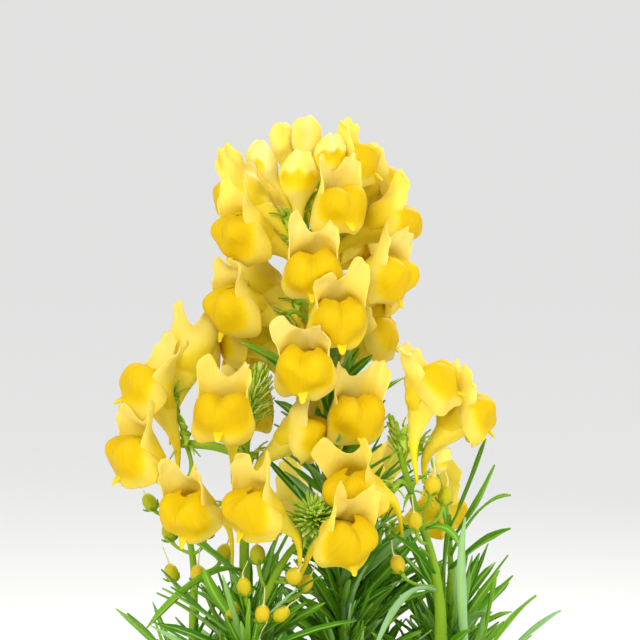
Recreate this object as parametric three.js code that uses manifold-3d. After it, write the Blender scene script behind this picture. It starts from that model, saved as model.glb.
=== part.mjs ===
// Potted common toadflax: a clump of leafy stems in a clay pot, with racemes of spurred,
// two-lipped flowers, young seed capsules on the older racemes and bristly growing tips.
// Millimetres, +Z up, the middle of the pot's foot at the origin. The front faces -Y.
// An azimuth is 0 towards the front and 90 towards +X.
import * as THREE from "three";
import { mergeVertices } from "three/addons/utils/BufferGeometryUtils.js";
import Module from "manifold-3d";

const wasm = await Module();
wasm.setup();

// Driving dimensions
const POT_HEIGHT = 110;
const POT_RADIUS = 66;
const FOOT_RADIUS = 45;
const POT_WALL = 5;
const FLOOR_THICKNESS = 8;
const RIM_HEIGHT = 24;
const RIM_STEP = 3;
const POT_SEGMENTS = 22;
const SOIL_LEVEL = 97;
const SOIL_DOME = 3;
const HOLE_DEPTH = 24;
const HOLE_SIDES = 6;
const GAP = 0.35;
const STEM_SIDES = 5;
const STEM_STEPS = 120;
const BRANCH_RADII = [0.95, 0.85];
const LEAF_THICKNESS = 0.9;
const PEDICEL_RADIUS = 0.62;
const PEDICEL_DROP = 3.2;
const SPUR_LENGTH = 11.5;
const SPUR_HOOK = 1.7;
const GOLDEN_ANGLE = 137.508;
const LEAF_STEPS = 12;
const LEAF_CLEARANCE = 0.9;
const LEAF_OVER_SOIL = 3;
const LEAF_TRIES = 9;
const TRY_TURN = 40;

const rad = THREE.MathUtils.degToRad;
const vec = (x, y, z) => new THREE.Vector3(x, y, z);
const vecs = (list) => list.map((p) => vec(...p));

// Park and Miller's number generator, so that every draw is the same on each run.
function draws(seed) {
  let state = seed;
  return (low, high) => {
    state = (state * 16807) % 2147483647;
    return low + ((high - low) * state) / 2147483647;
  };
}

// Stems: the route from the root to the tip, the radius at both ends, and the leaves as
// [lowest height, highest height, rise from one to the next, length, width].
const STEMS = {
  main: {
    route: [[4, 2, 86], [7, 3, 130], [8, 2, 180], [6, 1, 235], [3.3, 0, 282], [0.5, 0, 303],
      [-1.9, 0, 320], [-3.6, 0, 339], [-6.5, 0, 352]],
    radius: [1.9, 0.8], leaves: [110, 293, 7.6, 31, 2.7], seed: 11,
  },
  left: {
    route: [[-12, -6, 86], [-16, -9, 140], [-19, -12, 200], [-18, -12, 250], [-17.5, -12, 284],
      [-15.8, -11, 296], [-14.2, -10, 303]],
    radius: [1.7, 0.8], leaves: [112, 262, 10.2, 31, 2.7], seed: 23,
    branches: [[[-17.4, -12, 284], [-25, -11.5, 286.4], [-33.4, -11.5, 287]]],
  },
  front: {
    route: [[-4, -13, 86], [-11, -18, 140], [-16, -21, 195], [-16.5, -21, 238], [-13.2, -21, 250.7],
      [-8, -20, 261.4], [-2.5, -22, 268], [-1, -29.5, 273.5]],
    radius: [1.6, 0.8], leaves: [110, 238, 10, 30, 2.7], seed: 37,
  },
  right: {
    route: [[12, -5, 86], [21, -8, 140], [27, -10, 200], [28.6, -10, 238.8], [27.9, -10, 252],
      [26, -10, 261.4], [22.4, -10, 272], [19, -10, 284], [16.8, -10, 292]],
    radius: [1.7, 0.8], leaves: [112, 258, 10.2, 31, 2.7], seed: 41,
  },
  right_leafy: {
    route: [[17, 6, 86], [27, 10, 150], [32, 12, 210], [32, 12, 250], [31.5, 12, 266]],
    radius: [1.5, 0.7], leaves: [114, 262, 9.2, 29, 2.6], seed: 53,
  },
  right_low: {
    route: [[19, -12, 86], [32, -17, 140], [38, -17, 190], [37, -13, 226], [39, -12, 240]],
    radius: [1.5, 0.7], leaves: [110, 236, 9.4, 28, 2.7], seed: 61,
  },
  left_fruit: {
    route: [[-19, 4, 86], [-29, 8, 140], [-32, 9, 200], [-31, 8, 238], [-31, 8, 256],
      [-35, 8, 270], [-41, 8, 277]],
    radius: [1.5, 0.7], leaves: [112, 244, 10.2, 30, 2.7], seed: 71,
  },
  back: {
    route: [[3, 16, 86], [7, 25, 150], [10, 30, 210], [12, 32, 250], [12, 32, 276]],
    radius: [1.6, 0.8], leaves: [110, 246, 10.2, 30, 2.7], seed: 83,
  },
  back_left: {
    route: [[-9, 14, 86], [-16, 25, 145], [-19, 32, 200], [-18, 34, 246]],
    radius: [1.5, 0.7], leaves: [110, 244, 9.4, 29, 2.6], seed: 97,
  },
  back_right: {
    route: [[13, 19, 86], [24, 28, 140], [29, 34, 190], [30, 35, 232]],
    radius: [1.5, 0.7], leaves: [112, 230, 9.4, 29, 2.6], seed: 103,
  },
  front_low: {
    route: [[3, -17, 86], [9, -28, 130], [12, -34, 180], [12, -34, 214]],
    radius: [1.4, 0.7], leaves: [110, 212, 9.2, 28, 2.6], seed: 113,
  },
};

// Flowers: the stem, the middle of the palate, the azimuth it faces, the tilt of the tube
// towards that azimuth, the lean to the flower's right, the size, how far the spur swings
// forward, and whether it is a closed bud. A joint is given where the stalk starts elsewhere.
const BLOOMS = {
  a1: { stem: "main", at: [-13.6, -3.5, 353], face: -80, tilt: 28, size: 0.8, bud: true },
  a2: { stem: "main", at: [-5, -9, 349.5], face: 0, tilt: 12, size: 0.95, bud: true },
  a3: { stem: "main", at: [2.6, -6.6, 354.5], face: 30, tilt: 14, size: 0.85, bud: true },
  a4: { stem: "main", at: [11, -1.1, 353.2], face: 80, tilt: 22, size: 0.85, hook: 4 },
  a5: { stem: "main", at: [-8.8, 6, 357], face: -150, tilt: 10, size: 0.75, bud: true },
  a6: { stem: "main", at: [-3.4, 4.6, 358.4], face: 170, tilt: 8, size: 0.8, bud: true },
  a7: { stem: "main", at: [15, 11.5, 347], face: 128, tilt: 25, size: 0.9 },
  a8: { stem: "main", at: [6, -15, 343.5], face: 30, tilt: 30, size: 0.95 },
  b1: { stem: "main", at: [-21, 10.5, 343], face: -125, tilt: 45, hook: 6 },
  b2: { stem: "main", at: [-20.5, -11, 335.8], face: -58, tilt: 50, hook: 4.5 },
  b4: { stem: "main", at: [20.3, 0.3, 337.6], face: 90, tilt: 50, hook: 7 },
  b5: { stem: "main", at: [18.4, -11.5, 326], face: 62, tilt: 52, hook: 5 },
  b6: { stem: "main", at: [-1.7, -22, 328], face: 0, tilt: 50, hook: 6 },
  c1: { stem: "main", at: [-22.5, -11.5, 318.5], face: -60, tilt: 52, hook: 4.5 },
  c2: { stem: "main", at: [5, -25, 317], face: 15, tilt: 52, hook: 4.5 },
  c3: { stem: "main", at: [-21.7, 3.3, 310.3], face: -100, tilt: 45, hook: 4.5 },
  c4: { stem: "main", at: [-3.8, -27, 306], face: -8, tilt: 52, hook: 4.5 },
  c5: { stem: "main", at: [15.2, 2, 311.4], face: 95, tilt: 18, size: 0.95, hook: 3 },
  c6: { stem: "main", at: [9.5, -20, 294.5], face: 18, tilt: 42, hook: 6 },
  g1: { stem: "main", at: [0.4, 19.6, 347], face: 165, tilt: 40, size: 0.9, hook: 4.5 },
  g2: { stem: "main", at: [-11.6, 20.3, 336], face: -158, tilt: 48, hook: 5 },
  g3: { stem: "main", at: [9.2, 17.9, 332.3], face: 150, tilt: 48, hook: 4.5 },
  g4: { stem: "main", at: [-1.6, 21.6, 319.6], face: 180, tilt: 50, hook: 5 },
  g5: { stem: "main", at: [-17.7, 14.6, 321.3], face: -132, tilt: 50, hook: 4.5 },
  g6: { stem: "main", at: [16.3, 14.9, 320.5], face: 126, tilt: 50, hook: 4.5 },
  g7: { stem: "main", at: [7.3, 20.7, 307.5], face: 160, tilt: 50, hook: 4.5 },
  g8: { stem: "main", at: [-8.7, 20.2, 306], face: -157, tilt: 50, hook: 4.5 },
  g9: { stem: "main", at: [0.2, 20.5, 290.5], face: 182, tilt: 46, hook: 4.5 },
  d1: { stem: "left", at: [-42.5, -17, 302], face: -72, tilt: 12, joint: [-33.2, -11.5, 287] },
  d2: { stem: "left", at: [-29.5, 0, 309], face: 172, tilt: 15, lean: -12, joint: [-31, -11.5, 287] },
  d3: { stem: "left", at: [-45, -25.5, 286], face: -60, tilt: 35, joint: [-31.5, -11.5, 287] },
  d4: { stem: "left", at: [-22.6, -31, 297], face: -10, tilt: 30 },
  d5: { stem: "left", at: [-1.1, -15.2, 289.5], face: 80, tilt: 40, size: 0.92, hook: 7 },
  d6: { stem: "left", at: [-31.5, -31, 273], face: -35, tilt: 58, hook: 8 },
  d8: { stem: "left", at: [-18, 10.5, 294.3], face: 178, tilt: 30 },
  d7: { stem: "front", at: [-17.3, -37, 275], face: -50, tilt: 45, hook: 8 },
  f1: { stem: "front", at: [7.5, -38.5, 268], face: 32, tilt: 58, hook: 5 },
  f2: { stem: "right", at: [6, -31.5, 278], face: -42, tilt: 58, hook: 7 },
  e1: { stem: "right", at: [28.5, -14, 302.5], face: 78, tilt: 2 },
  e2: { stem: "right", at: [38, -6, 293.5], face: 92, tilt: 30, hook: 8 },
  e3: { stem: "right", at: [29, -11, 283], face: 80, tilt: 30, size: 0.5, bud: true },
  h1: { stem: "back", at: [12, 55, 264], face: 180, tilt: 50, hook: 5 },
  h2: { stem: "back", at: [33, 41.5, 261], face: 112, tilt: 50, hook: 5 },
  h3: { stem: "back", at: [-9, 42.5, 262], face: -115, tilt: 50, hook: 5 },
  h4: { stem: "back", at: [20, 40, 277], face: 140, tilt: 25, size: 0.85, bud: true },
  h5: { stem: "back", at: [4, 36, 278], face: -110, tilt: 22, size: 0.8, bud: true },
};

// Capsules: the stem, the middle of the capsule, and the height of its stalk's foot.
const CAPSULES = [
  ["front", [-13.3, -27, 249.5], 244], ["front", [-9, -26.5, 249.5], 247],
  ["front", [-17.5, -25.5, 255.5], 248], ["front", [-14.5, -20, 262], 254],
  ["front", [-6, -27.5, 258.5], 256], ["front", [-3.5, -17, 254.5], 250],
  ["front", [-20.5, -21, 249], 241], ["front", [-14.3, -27, 241.4], 236],
  ["left_fruit", [-41, 4, 270.2], 266], ["left_fruit", [-35.5, 3, 266], 262],
  ["left_fruit", [-27.6, 6, 263.1], 257], ["left_fruit", [-23.5, 8, 257], 252],
  ["left_fruit", [-36, 6, 252.5], 247], ["left_fruit", [-29.5, 2.5, 253], 248],
  ["left_fruit", [-37, 13, 261], 257],
  ["right", [26.4, -14.5, 277.4], 271], ["right", [29.5, -11.5, 274.5], 267],
  ["right", [22.2, -17.5, 269.5], 263], ["right", [18.3, -16, 259], 252.6],
];

// Leaves placed one by one: the stem, the base, the bend, the tip and the width.
const PLACED_LEAVES = [
  ["right_leafy", [31.6, 12, 262], [36, 8, 272], [40, 5, 285.7], 2],
  ["right_leafy", [31.7, 12, 259], [38, 6, 268], [42, 2, 279.8], 1.9],
  ["right_leafy", [31.9, 12, 255], [38, 4, 272], [45.7, -1, 272.9], 1.8],
  ["right_low", [38.5, -12, 238], [40, -14, 248], [41.4, -15, 255.9], 2.2],
  ["right_low", [38, -12.5, 234], [44, -15, 246], [50.7, -17, 251.9], 2.4],
  ["right_low", [37.5, -12.8, 230], [48, -18, 243], [56.2, -20, 249], 2.4],
  ["right_low", [37.1, -13, 226], [48, -20, 236], [57.1, -23, 240.5], 2.4],
  ["right_low", [37, -13.4, 222], [31, -19, 246], [33.8, -20, 271], 2.6],
  ["right", [27.9, -10, 251], [20, -19, 258], [12.4, -22, 238.8], 2.9],
  ["right", [24.4, -10, 266], [31, -14, 270], [33.3, -15, 261.9], 1.8],
  ["right", [26.6, -10, 259], [22, -14, 263], [23.5, -16, 262.5], 1.6],
  ["left", [-18, -12, 256.5], [-26, -21, 262], [-40.5, -19, 244.5], 2.4],
  ["front", [-16.4, -21, 243], [-24, -22, 250], [-27, -25, 260], 3],
  ["left_fruit", [-31.3, 8.3, 226], [-30, 0, 236], [-29, -4, 247], 3.4],
  ["main", [2.3, 0, 290], [-1, -4, 291], [-3.8, -6, 297], 1.9],
  ["main", [2.3, 0, 290], [-2, -3, 292], [-2.6, -4.5, 300], 1.8],
  ["main", [2.7, 0, 287], [-3, -5, 286], [-6, -7, 290.2], 2],
  ["main", [2.7, 0, 287], [3, -6, 284], [1, -9, 281], 2],
];

// Growing tips: the stem, the number of bracts, their length, width and spread in degrees,
// and how far down the stem they start.
const TIPS = [
  ["left", 12, 6, 1.3, 38, 7],
  ["front", 13, 6.5, 1.4, 62, 4],
  ["right", 10, 5, 1.2, 26, 8],
];

// A closed solid from its corner points and its triangles.
function solid(points, triangles) {
  return new wasm.Manifold(new wasm.Mesh({
    numProp: 3,
    vertProperties: new Float32Array(points.flatMap((p) => [p.x, p.y, p.z])),
    triVerts: new Uint32Array(triangles.flat()),
  }));
}

// A closed body through rings of points that turn anticlockwise when seen from the far end.
// Each end is drawn together to a point where one is given, and is flat otherwise.
function loft(rings, foot, tip) {
  const n = rings[0].length;
  const points = rings.flat();
  const triangles = [];
  for (let k = 0; k + 1 < rings.length; k++)
    for (let i = 0; i < n; i++) {
      const j = (i + 1) % n;
      triangles.push([k * n + i, k * n + j, (k + 1) * n + j]);
      triangles.push([k * n + i, (k + 1) * n + j, (k + 1) * n + i]);
    }
  const last = (rings.length - 1) * n;
  if (foot) {
    points.push(foot);
    for (let i = 0; i < n; i++) triangles.push([(i + 1) % n, i, points.length - 1]);
  } else {
    for (let i = 1; i + 1 < n; i++) triangles.push([0, i + 1, i]);
  }
  if (tip) {
    points.push(tip);
    for (let i = 0; i < n; i++) triangles.push([last + i, last + ((i + 1) % n), points.length - 1]);
  } else {
    for (let i = 1; i + 1 < n; i++) triangles.push([last, last + i, last + i + 1]);
  }
  return [points, triangles];
}

// A side at right angles to a direction, kept as near as may be to the side before it.
function turnedSide(side, direction) {
  return side.clone().addScaledVector(direction, -side.dot(direction)).normalize();
}

// A round tube along a line of points, the radius running from one end's to the other's.
function tube(points, radiusA, radiusB, sides, firstSide = vec(1, 0, 0)) {
  let side = firstSide;
  const rings = points.map((p, k) => {
    const ahead = points[Math.min(k + 1, points.length - 1)];
    const direction = ahead.clone().sub(points[Math.max(k - 1, 0)]).normalize();
    side = turnedSide(side, direction);
    const up = direction.clone().cross(side);
    const r = radiusA + ((radiusB - radiusA) * k) / (points.length - 1);
    return Array.from({ length: sides }, (_, i) => {
      const a = (2 * Math.PI * i) / sides;
      return p.clone().addScaledVector(side, r * Math.cos(a)).addScaledVector(up, r * Math.sin(a));
    });
  });
  return solid(...loft(rings));
}

function curveThrough(route) {
  return new THREE.CatmullRomCurve3(vecs(route), false, "catmullrom", 0.5);
}

// The point of a stem at a height, found between the two nearest of its samples.
const STEM_SAMPLES = {};
for (const [name, stem] of Object.entries(STEMS)) {
  const curve = curveThrough(stem.route);
  STEM_SAMPLES[name] = Array.from({ length: STEM_STEPS + 1 }, (_, i) => curve.getPoint(i / STEM_STEPS));
}
function stemAt(name, height) {
  const samples = STEM_SAMPLES[name];
  let i = 0;
  while (i + 2 < samples.length && samples[i + 1].z < height) i++;
  const [p, q] = [samples[i], samples[i + 1]];
  const t = Math.min(Math.max((height - p.z) / (q.z - p.z), 0), 1);
  return p.clone().lerp(q, t);
}

// A flower's own axes: x to its right, f out of its mouth, z up its tube. The point that a
// flower is placed by is the middle of its palate, or of the closed bud.
const PALATE_MIDDLE = [0, 6.5, 13.5];
const BUD_MIDDLE = [0, 1.4, 11];
function bloomFrame(bloom) {
  const [face, tilt, lean] = [rad(bloom.face), rad(bloom.tilt), rad(bloom.lean ?? 0)];
  const size = bloom.size ?? 1;
  const forward = vec(Math.sin(face), -Math.cos(face), 0);
  const right = vec(Math.cos(face), Math.sin(face), 0);
  const up = forward.clone().multiplyScalar(Math.sin(tilt)).add(vec(0, 0, Math.cos(tilt)));
  const f = forward.clone().multiplyScalar(Math.cos(tilt)).add(vec(0, 0, -Math.sin(tilt)));
  const x = right.clone().multiplyScalar(Math.cos(lean)).addScaledVector(up, -Math.sin(lean));
  const z = right.clone().multiplyScalar(Math.sin(lean)).addScaledVector(up, Math.cos(lean));
  const turned = (a, b, c) =>
    vec(0, 0, 0).addScaledVector(x, a * size).addScaledVector(f, b * size).addScaledVector(z, c * size);
  const origin = vec(...bloom.at).sub(turned(...(bloom.bud ? BUD_MIDDLE : PALATE_MIDDLE)));
  const place = (p) => turned(...p).add(origin);
  return { x, f, size, place };
}

// An open flower, as rings of its right half from the front round to the back, each point
// as [x, forward, height]: spur, tube, the underside of the lower lip, the edge of the lower
// lip with its small tongue, the palate and the back of the upper lip, the palate's two humps
// and the upper lip's two ears, and last the throat between them.
const OPEN_RINGS = [
  [[0, 1.35, -6], [0.53, 1.13, -6], [0.75, 0.6, -6], [0.53, 0.07, -6], [0, -0.15, -6]],
  [[0, 1.6, -1], [1, 1.2, -1], [1.4, 0.3, -1], [1, -0.6, -1], [0, -1, -1]],
  [[0, 4.6, 4], [2.1, 3.8, 4], [3, 1.8, 4], [2.1, -0.2, 4], [0, -1, 4]],
  [[0, 7.1, 9], [3, 6, 8.6], [4.2, 3.2, 9], [3, 0.4, 9], [0, -0.7, 9]],
  [[0, 11.6, 10.8], [5.4, 8, 5.2], [6.3, 4.4, 9.2], [4.4, 0.4, 10.2], [0, -1, 10.5]],
  [[0, 8.9, 13], [4.3, 8, 13.6], [5.6, 4.6, 15], [4.2, -0.4, 16], [0, -1.8, 15.5]],
  [[0, 7.4, 14.8], [3.1, 6.4, 18.2], [5.1, 2.8, 21], [3.1, -0.8, 22.5], [0, -2.2, 18]],
  [[0, 6, 15], [2.6, 5.2, 17.8], [3.9, 3.2, 16.5], [2.7, 0.5, 16.4], [0, -0.6, 15.6]],
];
// A closed bud, as [height, middle, depth, width] of its rings.
const BUD_RINGS = [[-6, 0.6, 0.75, 0.75], [-1, 0.3, 1.3, 1.4], [4, 1.2, 2.2, 2.4], [9, 1.6, 3, 3.3],
  [13.5, 1.3, 2.4, 2.7]];
const BUD_TIP = [0, 0.6, 17.5];
const BUD_SIDES = 6;

function corolla(bloom) {
  const frame = bloomFrame(bloom);
  const swing = (bloom.hook ?? SPUR_HOOK) - SPUR_HOOK;
  const rings = bloom.bud
    ? BUD_RINGS.map(([height, middle, depth, width]) => Array.from({ length: BUD_SIDES }, (_, i) => {
      const a = (2 * Math.PI * i) / BUD_SIDES;
      return [width * Math.sin(a), middle + depth * Math.cos(a), height];
    }))
    : OPEN_RINGS.map((half) => [...half, ...half.slice(1, -1).reverse().map(([x, f, z]) => [-x, f, z])]);
  const hang = ([x, f, z]) => frame.place([x, f + (z < 0 ? swing * (z / SPUR_LENGTH) ** 2 : 0), z]);
  const spurTip = hang([0, SPUR_HOOK, -SPUR_LENGTH]);
  const budTip = bloom.bud ? frame.place(BUD_TIP) : null;
  return solid(...loft(rings.map((ring) => ring.map(hang)), spurTip, budTip));
}

// The stalk of a flower and its five pointed sepals, seated behind the foot of the tube. The
// sepals part on a ring of the valley radius round the calyx's heart.
const STALK_END = [0, -2.7, -1.2];
const CALYX_HEART = [0, -1.4, -0.4];
const VALLEY_RADIUS = 1.35;
const VALLEY_DEPTH = -1.7;
const SEPAL_TIPS = [[0, -1.7, 3.2], [-3.3, -0.9, 0.9], [-1.9, -0.7, -3.5], [1.9, -0.7, -3.5],
  [3.3, -0.9, 0.9]];
function stalkPath(bloom) {
  const frame = bloomFrame(bloom);
  const end = frame.place(STALK_END);
  const joint = bloom.joint ? vec(...bloom.joint) : stemAt(bloom.stem, end.z - PEDICEL_DROP);
  const bend = end.clone().addScaledVector(frame.f, -0.35 * end.distanceTo(joint));
  return new THREE.QuadraticBezierCurve3(joint, bend, end);
}
function calyx(bloom) {
  const frame = bloomFrame(bloom);
  const path = stalkPath(bloom);
  const ring = (point, direction, radius) => {
    const side = turnedSide(frame.x, direction);
    const up = direction.clone().cross(side);
    return Array.from({ length: 5 }, (_, i) => {
      const a = rad(90 + 72 * i);
      return point.clone().addScaledVector(side, radius * Math.cos(a))
        .addScaledVector(up, radius * Math.sin(a));
    });
  };
  const rings = [
    ring(path.getPoint(0), path.getTangent(0), PEDICEL_RADIUS),
    ring(path.getPoint(1), frame.f, 0.85 * frame.size),
  ];
  const [points, triangles] = loft(rings);
  // The star of sepals takes the place of the flat end.
  triangles.splice(-3, 3);
  const tips = SEPAL_TIPS.map((p) => points.push(frame.place(p)) - 1);
  const valleys = SEPAL_TIPS.map((_, i) => {
    const a = rad(126 + 72 * i);
    const [across, rise] = [VALLEY_RADIUS * Math.cos(a), VALLEY_RADIUS * Math.sin(a)];
    return points.push(frame.place([across, VALLEY_DEPTH, CALYX_HEART[2] + rise])) - 1;
  });
  const heart = points.push(frame.place(CALYX_HEART)) - 1;
  for (let i = 0; i < 5; i++) {
    const [j, foot] = [(i + 1) % 5, 5];
    triangles.push([foot + i, valleys[i], tips[i]]);
    triangles.push([foot + i, foot + j, valleys[i]]);
    triangles.push([foot + j, tips[j], valleys[i]]);
    triangles.push([heart, tips[i], valleys[i]]);
    triangles.push([heart, valleys[i], tips[j]]);
  }
  return solid(points, triangles);
}

// A young capsule on its stalk, with the spread calyx under it and the thin style on top.
function capsulePath([stem, at, foot]) {
  const joint = stemAt(stem, foot);
  const top = vec(...at);
  const out = vec(top.x - joint.x, top.y - joint.y, 0);
  const bend = joint.clone().addScaledVector(out, 0.75).add(vec(0, 0, 0.5));
  return new THREE.QuadraticBezierCurve3(joint, bend, top);
}
const CAPSULE_RINGS = [[-2.4, 0.6], [-1.9, 2.3], [-1.4, 1.3], [0.4, 2], [2.2, 0.9]];
const CAPSULE_STALK_RADIUS = 0.5;
const STYLE_RISE = 6;
function capsule(entry) {
  const path = capsulePath(entry);
  const axis = path.getTangent(1);
  const side = turnedSide(vec(1, 0, 0), axis);
  const up = axis.clone().cross(side);
  const start = path.getPoint(0);
  const middle = path.getPoint(1);
  const ring = (point, radius) => Array.from({ length: 5 }, (_, i) => {
    const a = rad(72 * i);
    return point.clone().addScaledVector(side, radius * Math.cos(a))
      .addScaledVector(up, radius * Math.sin(a));
  });
  const rings = [ring(start, CAPSULE_STALK_RADIUS)];
  for (const [rise, radius] of CAPSULE_RINGS)
    rings.push(ring(middle.clone().addScaledVector(axis, rise), radius));
  return solid(...loft(rings, null, middle.clone().addScaledVector(axis, STYLE_RISE)));
}

// A leaf: flat above and keeled below, along a bend from its base inside the stem.
function leafCurve(base, bend, tip) {
  return new THREE.QuadraticBezierCurve3(base, bend, tip);
}
function blade(curve, width, stations) {
  const rings = stations.map(([t, share]) => {
    const direction = curve.getTangent(t);
    let side = direction.clone().cross(vec(0, 0, 1));
    if (side.length() < 0.05) side = vec(1, 0, 0);
    side.normalize();
    const normal = side.clone().cross(direction);
    const p = curve.getPoint(t);
    const half = (width * share) / 2;
    return [
      p.clone().addScaledVector(side, -half).addScaledVector(normal, LEAF_THICKNESS / 3),
      p.clone().addScaledVector(side, half).addScaledVector(normal, LEAF_THICKNESS / 3),
      p.clone().addScaledVector(normal, (-LEAF_THICKNESS * 2) / 3),
    ];
  });
  return solid(...loft(rings, curve.getPoint(0), curve.getPoint(1)));
}
const LONG_BLADE = [[0.14, 0.6], [0.42, 1], [0.75, 0.8]];
const SHORT_BLADE = [[0.16, 0.6], [0.55, 1]];
const BRACT_BLADE = [[0.45, 1]];

// What a leaf has to stay clear of: balls with an owner, who may touch his own ones.
const keepOut = [];
const BLOOM_BALLS = [[0, 4, 13, 7.2], [0, 2.4, 6, 4], [0, 0.8, 0, 2.6], [0, 0.8, -5, 1.8],
  [0, -0.3, 18.5, 5], [0, 11, 11.5, 2], [0, 1.2, -8.5, 1.6]];
const [STALK_BALL, CALYX_BALL, CAPSULE_BALL, STYLE_BALL, LEAF_BALL, BRANCH_BALL] =
  [1.2, 3.4, 2.6, 1.4, 1.3, 1.6];
const BUD_BALLS = [[0, 1.4, 9, 4.2], [0, 1, 4, 3.2], [0, 0.8, -1, 2], [0, 1, 14, 3.4], [0, 1, -7, 1.6]];
for (const bloom of Object.values(BLOOMS)) {
  const frame = bloomFrame(bloom);
  for (const [x, f, z, r] of bloom.bud ? BUD_BALLS : BLOOM_BALLS)
    keepOut.push({ owner: "", at: frame.place([x, f, z]), radius: r * frame.size });
  const path = stalkPath(bloom);
  for (let i = 0; i <= 5; i++)
    keepOut.push({ owner: bloom.stem, at: path.getPoint(i / 5), radius: i > 3 ? CALYX_BALL : STALK_BALL });
}
for (const entry of CAPSULES) {
  const path = capsulePath(entry);
  for (let i = 0; i <= 5; i++)
    keepOut.push({ owner: entry[0], at: path.getPoint(i / 5), radius: i > 3 ? CAPSULE_BALL : STALK_BALL });
  const style = path.getPoint(1).addScaledVector(path.getTangent(1), 4);
  keepOut.push({ owner: entry[0], at: style, radius: STYLE_BALL });
}
for (const [name, samples] of Object.entries(STEM_SAMPLES))
  for (const p of samples) keepOut.push({ owner: name, at: p, radius: STEMS[name].radius[0] + 0.4 });
for (const branch of STEMS.left.branches) {
  const curve = curveThrough(branch);
  for (let i = 0; i <= 12; i++)
    keepOut.push({ owner: "left", at: curve.getPoint(i / 12), radius: BRANCH_BALL });
}

function leafIsClear(owner, curve) {
  for (let i = 2; i <= LEAF_STEPS; i++) {
    const p = curve.getPoint(i / LEAF_STEPS);
    if (p.z < SOIL_LEVEL + SOIL_DOME + LEAF_OVER_SOIL) return false;
    for (const ball of keepOut) {
      const reach = ball.radius + LEAF_CLEARANCE;
      if (ball.owner !== owner && ball.at.distanceToSquared(p) < reach * reach) return false;
    }
  }
  return true;
}
function claimLeaf(owner, curve) {
  for (let i = 1; i <= LEAF_STEPS; i++)
    keepOut.push({ owner, at: curve.getPoint(i / LEAF_STEPS), radius: LEAF_BALL });
}

const LEAVES = [];
for (const [stem, base, bend, tip, width] of PLACED_LEAVES) {
  const curve = leafCurve(vec(...base), vec(...bend), vec(...tip));
  claimLeaf(stem, curve);
  LEAVES.push({ stem, curve, width, stations: LONG_BLADE });
}
for (const [name, stem] of Object.entries(STEMS)) {
  const [low, high, rise, length, width] = stem.leaves;
  const draw = draws(stem.seed);
  let turn = draw(0, 360);
  for (let height = low; height <= high; height += rise) {
    turn += GOLDEN_ANGLE + draw(-14, 14);
    const age = (height - low) / (high - low);
    const reach = length * draw(0.8, 1.12) * (1.1 - 0.35 * age);
    const climb = draw(38, 62);
    const sag = draw(0.05, 0.3);
    const broad = width * draw(0.85, 1.15);
    for (let attempt = 0; attempt < LEAF_TRIES; attempt++) {
      const azimuth = rad(turn + attempt * TRY_TURN);
      const out = vec(Math.sin(azimuth), -Math.cos(azimuth), 0);
      const base = stemAt(name, height);
      const bend = base.clone().addScaledVector(out, 0.5 * reach * Math.cos(rad(climb)))
        .add(vec(0, 0, 0.5 * reach * Math.sin(rad(climb))));
      const tip = base.clone().addScaledVector(out, reach * Math.cos(rad(climb)) * (1 + 0.4 * sag))
        .add(vec(0, 0, reach * Math.sin(rad(climb)) * (1 - sag)));
      const curve = leafCurve(base, bend, tip);
      if (!leafIsClear(name, curve)) continue;
      claimLeaf(name, curve);
      LEAVES.push({ stem: name, curve, width: broad, stations: SHORT_BLADE });
      break;
    }
  }
}

// The bracts round a growing tip, closer and steeper towards its end.
const BRACTS = [];
for (const [name, count, length, width, spread, depth] of TIPS) {
  const samples = STEM_SAMPLES[name];
  const end = samples[samples.length - 1];
  const axis = end.clone().sub(samples[samples.length - 6]).normalize();
  const side = turnedSide(vec(1, 0, 0), axis);
  const up = axis.clone().cross(side);
  const draw = draws(STEMS[name].seed + 7);
  for (let i = 0; i < count; i++) {
    const share = i / (count - 1);
    const a = rad(i * GOLDEN_ANGLE);
    const base = end.clone().addScaledVector(axis, -depth * (1 - share) - 0.4);
    const out = side.clone().multiplyScalar(Math.cos(a)).addScaledVector(up, Math.sin(a));
    const open = rad(spread * (1 - 0.75 * share) + draw(-6, 6));
    const reach = length * draw(0.8, 1.1) * (1 - 0.25 * share);
    const bend = base.clone().addScaledVector(axis, 0.45 * reach * Math.cos(open))
      .addScaledVector(out, 0.6 * reach * Math.sin(open));
    const tip = base.clone().addScaledVector(axis, reach * Math.cos(open * 0.8))
      .addScaledVector(out, reach * Math.sin(open * 0.8));
    BRACTS.push({ stem: name, curve: leafCurve(base, bend, tip), width, stations: BRACT_BLADE });
  }
}

// A stem with everything green that grows on it, and its capsules, as one body.
function shoot(name) {
  const stem = STEMS[name];
  const curve = curveThrough(stem.route);
  const count = Math.round(stem.route.length * 1.3);
  const points = Array.from({ length: count }, (_, i) => curve.getPoint(i / (count - 1)));
  const parts = [tube(points, ...stem.radius, STEM_SIDES)];
  for (const branch of stem.branches ?? [])
    parts.push(tube(vecs(branch), ...BRANCH_RADII, STEM_SIDES, vec(0, 0, 1)));
  for (const leaf of [...LEAVES, ...BRACTS])
    if (leaf.stem === name) parts.push(blade(leaf.curve, leaf.width, leaf.stations));
  for (const bloom of Object.values(BLOOMS)) if (bloom.stem === name) parts.push(calyx(bloom));
  for (const entry of CAPSULES) if (entry[0] === name) parts.push(capsule(entry));
  return wasm.Manifold.union(parts);
}

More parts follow.
